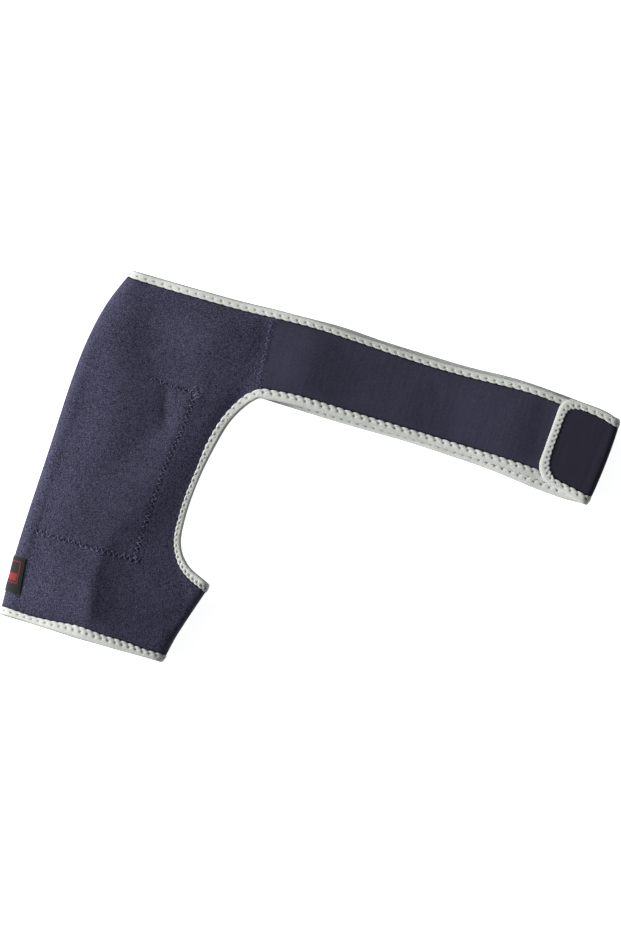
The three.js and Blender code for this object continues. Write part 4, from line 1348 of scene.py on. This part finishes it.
class Finish(Nodes):
    """A procedural material: its node tree, its shader and the values that are the same all over it."""

    def __init__(self, name, constants):
        self.material = bpy.data.materials.new(name)
        self.material.use_nodes = True
        super().__init__(self.material.node_tree)
        self.shader = self.tree.nodes["Principled BSDF"]
        for key, value in constants.items():
            self.shader.inputs[key].default_value = value

    def millimetres(self):
        """Object coordinates in millimetres."""
        place = self.node("ShaderNodeTexCoord", output="Object")
        return self.node("ShaderNodeMapping", sockets={"Vector": place, "Scale": (1000, 1000, 1000)})

    def noise(self, place, scale, detail=2.0, roughness=0.5):
        """Noise from 0 to 1, with a number of grains to the millimetre."""
        sockets = {"Vector": place, "Scale": scale, "Detail": detail, "Roughness": roughness}
        return self.node("ShaderNodeTexNoise", sockets=sockets)

    def mottle(self, middle, *parts):
        """Patterns about a middle value, from 0 to 1: each part is a pattern, its mean and its weight."""
        first, *others = [(pattern - mean) * weight for pattern, mean, weight in parts]
        return self.clamp(sum(others, first) + middle)

    def needle_holes_and_painted_shade(self):
        """Painted shade beside the tapes, along the sewing and round the tape's turns, with the depth of
        the tape's needle holes, from 0 to 1.
        """
        return self.node("ShaderNodeAttribute", {"attribute_name": "needle_holes_and_painted_shade"}, output="Fac")

    def clamp(self, value):
        """A value kept from 0 to 1."""
        return self.node("ShaderNodeClamp", sockets={"Value": value, "Min": 0.0, "Max": 1.0})

    def mix(self, share, first, second):
        """A colour between two colours."""
        sockets = {"Factor_Float": share, "A_Color": first, "B_Color": second}
        return self.node("ShaderNodeMix", {"data_type": "RGBA"}, sockets, "Result_Color")

    def bump(self, height, depth):
        """Relief from a height from 0 to 1, with its depth in millimetres."""
        sockets = {"Height": height, "Distance": depth * MILLIMETRE, "Strength": 1.0}
        return self.node("ShaderNodeBump", sockets=sockets)

    def dress(self, **inputs):
        """Feeds the shader's sockets, and gives the material."""
        for key, value in inputs.items():
            connect(self.tree, self.shader.inputs[key.replace("_", " ")], value)
        return self.material


def colour(red, green, blue):
    """A linear colour from display values of 0 to 255."""
    def linear(value):
        share = value / 255
        return share / 12.92 if share <= 0.04045 else ((share + 0.055) / 1.055) ** 2.4

    return (linear(red), linear(green), linear(blue), 1.0)


NAVY_SHEEN = {
    "Sheen Weight": 0.14,
    "Sheen Roughness": 0.35,
    "Sheen Tint": (0.7, 0.72, 0.9, 1),
    "Specular IOR Level": 0.15,
}
# Painted shade: cloth beside a tape, along the pocket's sewing and at the seam is mixed towards this dark
# colour
SHADE = colour(14, 13, 18)  # of cloth close beside a tape


def jersey_finish():
    """Grainy navy knit over foam."""
    finish = Finish("navy_jersey", NAVY_SHEEN)
    place = finish.millimetres()
    stretch = {"Vector": place, "Rotation": (0, 0, PHOTO_TURN), "Scale": (1.0, 1.5, 1.0)}
    drawn = finish.node("ShaderNodeMapping", {"vector_type": "TEXTURE"}, stretch)
    cells = {"Vector": drawn, "Scale": 1.0, "Smoothness": 0.3, "Randomness": 0.8}
    pebble = finish.node("ShaderNodeTexVoronoi", {"feature": "SMOOTH_F1"}, cells, "Distance")
    nap = finish.noise(drawn, scale=1.6, detail=1.0, roughness=0.6)
    fuzz = finish.noise(place, scale=2.8)
    patch = finish.noise(place, scale=0.035)
    grain = finish.mottle(0.52, (nap, 0.5, 3.4), (pebble, 0.42, -0.9), (fuzz, 0.5, 0.3), (patch, 0.5, 0.15))
    cloth = finish.mix(grain, colour(25, 25, 36), colour(88, 88, 114))
    tint = finish.mix(finish.needle_holes_and_painted_shade(), cloth, SHADE)
    relief = finish.bump(grain * 0.8 + fuzz * 0.2, depth=0.5)
    return finish.dress(Base_Color=tint, Roughness=0.9 - grain * 0.1, Normal=relief)


def strap_finish(name, dark, light, contrast, grain_depth):
    """Brushed navy loop cloth, finer than the body's."""
    finish = Finish(name, NAVY_SHEEN)
    place = finish.millimetres()
    nap = finish.noise(place, scale=0.8, detail=3.0, roughness=0.6)
    fuzz = finish.noise(place, scale=3.2)
    drawn = finish.node("ShaderNodeMapping", sockets={"Vector": place, "Scale": (1.0, 0.12, 1.0)})
    streak = finish.noise(drawn, scale=0.3)
    patch = finish.noise(place, scale=0.03)
    fine = ((nap, 0.5, contrast), (fuzz, 0.5, 0.5 * contrast))
    grain = finish.mottle(0.5, *fine, (streak, 0.5, 0.5), (patch, 0.5, 0.4))
    tint = finish.mix(finish.needle_holes_and_painted_shade(), finish.mix(grain, dark, light), SHADE)
    relief = finish.bump(nap * 0.6 + fuzz * 0.4, grain_depth)
    return finish.dress(Base_Color=tint, Roughness=0.92 - grain * 0.1, Normal=relief)


def tape_finish():
    """Pale grey knitted tape, darker in its needle holes, partly from the cloth showing through and partly
    painted shade, with painted shade in its slits, at its nose, round the outer fold and round the tab's
    end.
    """
    finish = Finish("grey_tape", {"Sheen Weight": 0.1, "Sheen Roughness": 0.5, "Specular IOR Level": 0.25})
    place = finish.millimetres()
    flat = finish.node("ShaderNodeUVMap", {"uv_map": "cloth"})
    bands = {"wave_type": "BANDS", "bands_direction": "X"}
    ribs = {"Vector": flat, "Scale": 0.36, "Distortion": 1.5, "Detail": 1.0, "Detail Scale": 1.5}
    rib = finish.node("ShaderNodeTexWave", bands, ribs)
    nap = finish.noise(place, scale=1.1, detail=3.0, roughness=0.6)
    patch = finish.noise(place, scale=0.06)
    # sewn is painted shade, with the darkening of the needle holes that is partly real
    sewn = finish.needle_holes_and_painted_shade()
    tone = finish.mottle(0.5, (nap, 0.5, 1.5), (patch, 0.5, 0.7), (rib, 0.5, 0.2))
    cloth = finish.mix(tone, colour(186, 188, 182), colour(232, 234, 228))
    tint = finish.mix(finish.clamp(sewn * 0.95), cloth, colour(100, 101, 100))
    relief = finish.bump(rib * 0.5 + nap * 0.5, depth=0.12)
    return finish.dress(Base_Color=tint, Roughness=0.85 + sewn * 0.1, Normal=relief)


def thread_finish(name, dark, light):
    """Spun thread."""
    finish = Finish(name, {"Sheen Weight": 0.1, "Specular IOR Level": 0.35})
    place = finish.millimetres()
    twist = finish.noise(place, scale=2.4)
    fleck = finish.noise(place, scale=0.45, detail=1.0)
    tone = finish.mottle(0.5, (twist, 0.5, 1.5), (fleck, 0.5, 3))
    tint = finish.mix(tone, dark, light)
    relief = finish.bump(twist, depth=0.1)
    return finish.dress(Base_Color=tint, Roughness=0.55 + twist * 0.2, Normal=relief)


LABEL_BORDER = (4.4, 5.2)  # in from the label's top and free side
LABEL_BORDER_FOOT = (9.6, 10.4)  # and up from its foot
LABEL_BLOCK_INSET = 6.0
LABEL_BLOCK_LEVELS = (12.0, 19.5)


def label_finish(width, height):
    """Black woven label with a plain red border and block."""
    finish = Finish("woven_label", {"Sheen Weight": 0.05, "Specular IOR Level": 0.3})
    flat = finish.node("ShaderNodeUVMap", {"uv_map": "cloth"})
    place, level = (
        finish.node("ShaderNodeSeparateXYZ", sockets={"Vector": flat}, output=axis) for axis in ("X", "Y")
    )
    inset = (width - place).least(level).least(height - level)
    framed = (inset > LABEL_BORDER[0]) * (level > LABEL_BORDER_FOOT[0])
    border = framed * (inset < LABEL_BORDER[1]) + framed * (level < LABEL_BORDER_FOOT[1])
    block = (inset > LABEL_BLOCK_INSET) * (level > LABEL_BLOCK_LEVELS[0]) * (level < LABEL_BLOCK_LEVELS[1])
    yarns = {"Vector": flat, "Scale": 0.7, "Distortion": 0.6, "Detail": 1.0}
    weft, warp = (finish.node("ShaderNodeTexWave", {"bands_direction": axis}, yarns) for axis in ("Y", "X"))
    weave = weft * warp
    black = finish.mix(weave, colour(14, 12, 14), colour(32, 28, 30))
    red = finish.mix(weave, colour(112, 26, 30), colour(160, 44, 46))
    tint = finish.mix(finish.clamp(border + block), black, red)
    relief = finish.bump(weave, depth=0.15)
    return finish.dress(Base_Color=tint, Roughness=0.75 - weave * 0.15, Normal=relief)


def hook_finish():
    """Black hook tape: close rows of stubby hooks."""
    finish = Finish("hook_tape", {"Specular IOR Level": 0.4})
    rows = {"Vector": finish.millimetres(), "Scale": 0.7, "Randomness": 0.2}
    hooks = finish.node("ShaderNodeTexVoronoi", {"feature": "F1"}, rows, "Distance")
    stub = finish.clamp(1 - hooks * 1.6)
    tint = finish.mix(stub, colour(20, 20, 24), colour(46, 46, 52))
    relief = finish.bump(stub, depth=0.6)
    return finish.dress(Base_Color=tint, Roughness=0.6 - stub * 0.2, Normal=relief)


navy_jersey = jersey_finish()
front_loop = strap_finish("front_loop", colour(42, 41, 55), colour(66, 65, 84), 1.5, 0.15)
back_loop = strap_finish("back_loop", colour(37, 36, 47), colour(49, 47, 60), 0.8, 0.1)
grey_tape = tape_finish()
navy_thread = thread_finish("navy_thread", colour(28, 31, 52), colour(112, 117, 146))


# Pieces

# Depth of the shade beside a tape, at distances from it
SHADE_BESIDE = ((-0.5, 0.8, 1.6, 2.6), (1.0, 0.75, 0.25, 0.0))


def place_piece(piece, slot, *nodes):
    """Rides a piece on the wrap's body and hides the nodes that it stands for; the slot is not used."""
    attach(piece, BODY)
    if nodes:
        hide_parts(*nodes)
    return piece


def strap_shade(grid, tapes):
    """Shade beside the tapes along a strap."""
    at = np.stack([distances(row) for row in grid])
    from_tape = np.minimum(at - tapes[:, :1], at[:, -1:] - at - tapes[:, 1:])
    return np.interp(from_tape, *SHADE_BESIDE)


def body_shade():
    """Shade beside the body's tapes and along its sewn lines."""
    up = np.stack([distances(body_grid[:, c]) for c in range(body_grid.shape[1])], axis=1)
    from_hem_tape = up - up[TAPE_CELLS]
    from_edge_tape = np.where(bound, up[-1 - TAPE_CELLS] - up, np.inf)
    shade = np.interp(np.minimum(from_hem_tape, from_edge_tape), *SHADE_BESIDE)
    front = np.arange(body_grid.shape[1]) < len(front_lines["edge"])
    for line in POCKET_LINES:
        away, _ = line_distance(body_grid[..., :2], line)
        shade = np.maximum(shade, POCKET_SHADE * bell(away, POCKET_SHADE_WIDTH) * front)
    shade[-1] = np.maximum(shade[-1], SEAM_SHADE * front * ~bound)
    return shade


def panel(name, surface, finish, slot, node, loop=False):
    """A foam panel: its piece, and its mesh in the plan."""
    grid, normals, pressed, shade = surface
    points, faces, walls = sheet_mesh(grid, normals, FOAM, loop, pressed=pressed)
    both_sides = np.concatenate([shade.ravel(), shade.ravel()])
    piece = make_piece(name, points, faces, finish, shade=both_sides, walls=walls)
    return place_piece(piece, slot, node), (points, faces)


def make_tape(name, rows, loop, slot, node):
    """A tape folded over a cut edge."""
    rows = even_stations(rows, loop)
    points, faces, flat, depth = tape_mesh(rows, sewing_phase(rows, loop), loop)
    return place_piece(make_piece(name, points, faces, grey_tape, uv=flat, shade=depth), slot, node)


body_surface = (body_grid, body_normals, body_pressed, body_shade())
front_shade = strap_shade(front_strap_grid, front_tapes)
front_surface = (front_strap_grid, front_strap_normals, front_strap_pressed, front_shade)
back_shade = strap_shade(back_strap_grid, back_tapes)
back_surface = (back_strap_grid, back_strap_normals, back_strap_pressed, back_shade)
body_piece, body_mesh = panel(
    "body_cloth", body_surface, navy_jersey, "body_jersey", "body_panel", loop=True
)
front_piece, front_strap_mesh = panel(
    "front_strap_cloth", front_surface, front_loop, "front_strap_loop", "front_strap"
)
back_piece, _ = panel("back_strap_cloth", back_surface, back_loop, "back_strap_loop", "back_strap")
edge_tape = make_tape("edge_tape", edge_tape_stations(), False, "edge_tape", "edge_binding")
hem_tape = make_tape("hem_tape", hem_tape_stations(), True, "hem_tape", "hem_binding")
sewn_cloth = Cloth(body_mesh, front_strap_mesh)
pocket, tack, seam = (
    place_piece(lay_zigzags(sewn_cloth, navy_thread, **row), "body_jersey") for row in SEWING
)

# Label, wrapped round the outer fold of the sleeve
LABEL_FROM_HEM = (23.0, 59.0)
LABEL_BACK = -5.0  # round the fold, on the back and then on the front at the label's foot and top
LABEL_FOOT = 13.6
LABEL_TOP = 11.0
LABEL_THICK = 0.8
LABEL_LIFT = FOAM / 2 + SEAT + LABEL_THICK / 2
LABEL_ROWS = 40
LABEL_COLUMNS = 30
LABEL_MARGIN = 6.0  # past the label, for the lines up the panel that it lies between


def label_grid():
    """Places of the label on the body's middle surface, with their normals and flat places."""
    front = np.flatnonzero(front_lines["hem"] < LABEL_FOOT + LABEL_MARGIN)
    back = np.flatnonzero(back_lines["hem"] < LABEL_MARGIN - LABEL_BACK)[:0:-1]
    columns = np.concatenate([body_grid.shape[1] - back, front])
    runs = np.concatenate([-back_lines["hem"][back], front_lines["hem"][front]])
    levels = np.linspace(*LABEL_FROM_HEM, LABEL_ROWS)
    reaches = np.linspace(LABEL_FOOT, LABEL_TOP, LABEL_ROWS)
    ups = [distances(body_grid[:, column]) for column in columns]

    def read(source):
        values = np.empty((LABEL_ROWS, LABEL_COLUMNS, 3))
        for axis in range(3):
            lines = [np.interp(levels, up, source[:, column, axis]) for up, column in zip(ups, columns)]
            for row, (across, reach) in enumerate(zip(np.transpose(lines), reaches)):
                wanted = np.linspace(LABEL_BACK, reach, LABEL_COLUMNS)
                values[row, :, axis] = np.interp(wanted, runs, across)
        return values

    places = read(body_grid)
    normals = unit(read(body_normals))
    round_fold = distances((places + normals * LABEL_LIFT)[LABEL_ROWS // 2])
    flat = np.stack(np.meshgrid(round_fold, levels - levels[0]), axis=-1)
    return places, normals, flat.reshape(-1, 2)


label_places, label_normals, label_flat = label_grid()
label_points, label_faces, label_walls = sheet_mesh(
    label_places, label_normals, LABEL_THICK, lift=LABEL_LIFT
)
label_width, label_height = (float(size) for size in label_flat.max(axis=0))
label = make_piece(
    "label_patch",
    label_points,
    label_faces,
    label_finish(label_width, label_height),
    uv=np.vstack([label_flat, label_flat]),
    walls=label_walls,
)
place_piece(label, "label_weave", "label")

hook_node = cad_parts["hook_patch"]
hook_node.data.materials.clear()
hook_node.data.materials.append(hook_finish())


# Floor, light and camera

PHOTO_RIGHT = np.array([math.cos(PHOTO_TURN), math.sin(PHOTO_TURN), 0.0])
PHOTO_UP = np.array([-math.sin(PHOTO_TURN), math.cos(PHOTO_TURN), 0.0])
VIEW_CENTRE = np.array([-0.0134, 0.0437, 0.0])
VIEW_TALL = 0.931  # metres of the floor in the picture's height
CAMERA_HIGH = 5.0
CAMERA_REACH = 100.0
SENSOR = 36.0
FLOOR_HALF = 8.0
KEY_TILT = math.radians(66)  # of the main light from upright
KEY_SWING = math.radians(12)  # of the main light, from the photograph's left towards its head
KEY_DISTANCE = 5.0
KEY_SIZE = 2.3
KEY_POWER = 529
SKY = {"From Min": -0.15, "From Max": 0.1, "To Min": 1.1, "To Max": 0.12}  # strength, from below to above
SKY_COLOUR = (0.92, 0.95, 1.0, 1)


def make_floor():
    """A wide pale floor."""
    glow = {"Emission Strength": 0.9, "Emission Color": (1, 1, 1, 1)}
    finish = Finish("pale_floor", {"Specular IOR Level": 0.0, "Roughness": 1.0, **glow})
    shade = finish.noise(finish.node("ShaderNodeTexCoord", output="Object"), scale=3.0)
    finish.dress(Base_Color=finish.mix(shade, colour(236, 236, 236), colour(240, 240, 240)))
    corners = [(x * FLOOR_HALF, y * FLOOR_HALF, 0) for x, y in ((-1, -1), (1, -1), (1, 1), (-1, 1))]
    mesh = bpy.data.meshes.new("floor")
    mesh.from_pydata(corners, [], [(0, 1, 2, 3)])
    mesh.materials.append(finish.material)
    floor = bpy.data.objects.new("floor", mesh)
    bpy.context.collection.objects.link(floor)
    floor.visible_diffuse = False


def make_key_light():
    """A square soft light that faces the wrap, low from the photograph's left."""
    data = bpy.data.lights.new("key", "AREA")
    data.size = KEY_SIZE
    data.energy = KEY_POWER
    light = bpy.data.objects.new("key", data)
    side = -PHOTO_RIGHT * math.cos(KEY_SWING) + PHOTO_UP * math.sin(KEY_SWING)
    toward = side * math.sin(KEY_TILT) + np.array([0, 0, math.cos(KEY_TILT)])
    direction = Vector(toward).normalized()
    light.location = Vector(VIEW_CENTRE) + direction * KEY_DISTANCE
    light.rotation_mode = "QUATERNION"
    light.rotation_quaternion = direction.to_track_quat("Z", "Y")
    bpy.context.collection.objects.link(light)


def make_camera():
    """A camera straight above the wrap, turned as the photograph is."""
    data = bpy.data.cameras.new("camera")
    data.sensor_width = SENSOR
    data.lens = SENSOR * CAMERA_HIGH / VIEW_TALL
    data.clip_end = CAMERA_REACH
    camera = bpy.data.objects.new("camera", data)
    camera.location = Vector(VIEW_CENTRE) + Vector((0, 0, CAMERA_HIGH))
    camera.rotation_euler = (0, 0, PHOTO_TURN)
    bpy.context.collection.objects.link(camera)
    bpy.context.scene.camera = camera


def make_sky():
    """Weak light from all round, stronger from the pale surface below."""
    world = bpy.data.worlds.new("studio")
    bpy.context.scene.world = world
    world.use_nodes = True
    node = Nodes(world.node_tree).node
    direction = node("ShaderNodeTexCoord", output="Generated")
    level = node("ShaderNodeSeparateXYZ", sockets={"Vector": direction}, output="Z")
    strength = node("ShaderNodeMapRange", sockets={"Value": level, **SKY}, output="Result")
    background = world.node_tree.nodes["Background"]
    background.inputs["Color"].default_value = SKY_COLOUR
    connect(world.node_tree, background.inputs["Strength"], strength)


make_floor()
make_key_light()
make_camera()
make_sky()
bpy.context.scene.view_settings.view_transform = "Standard"
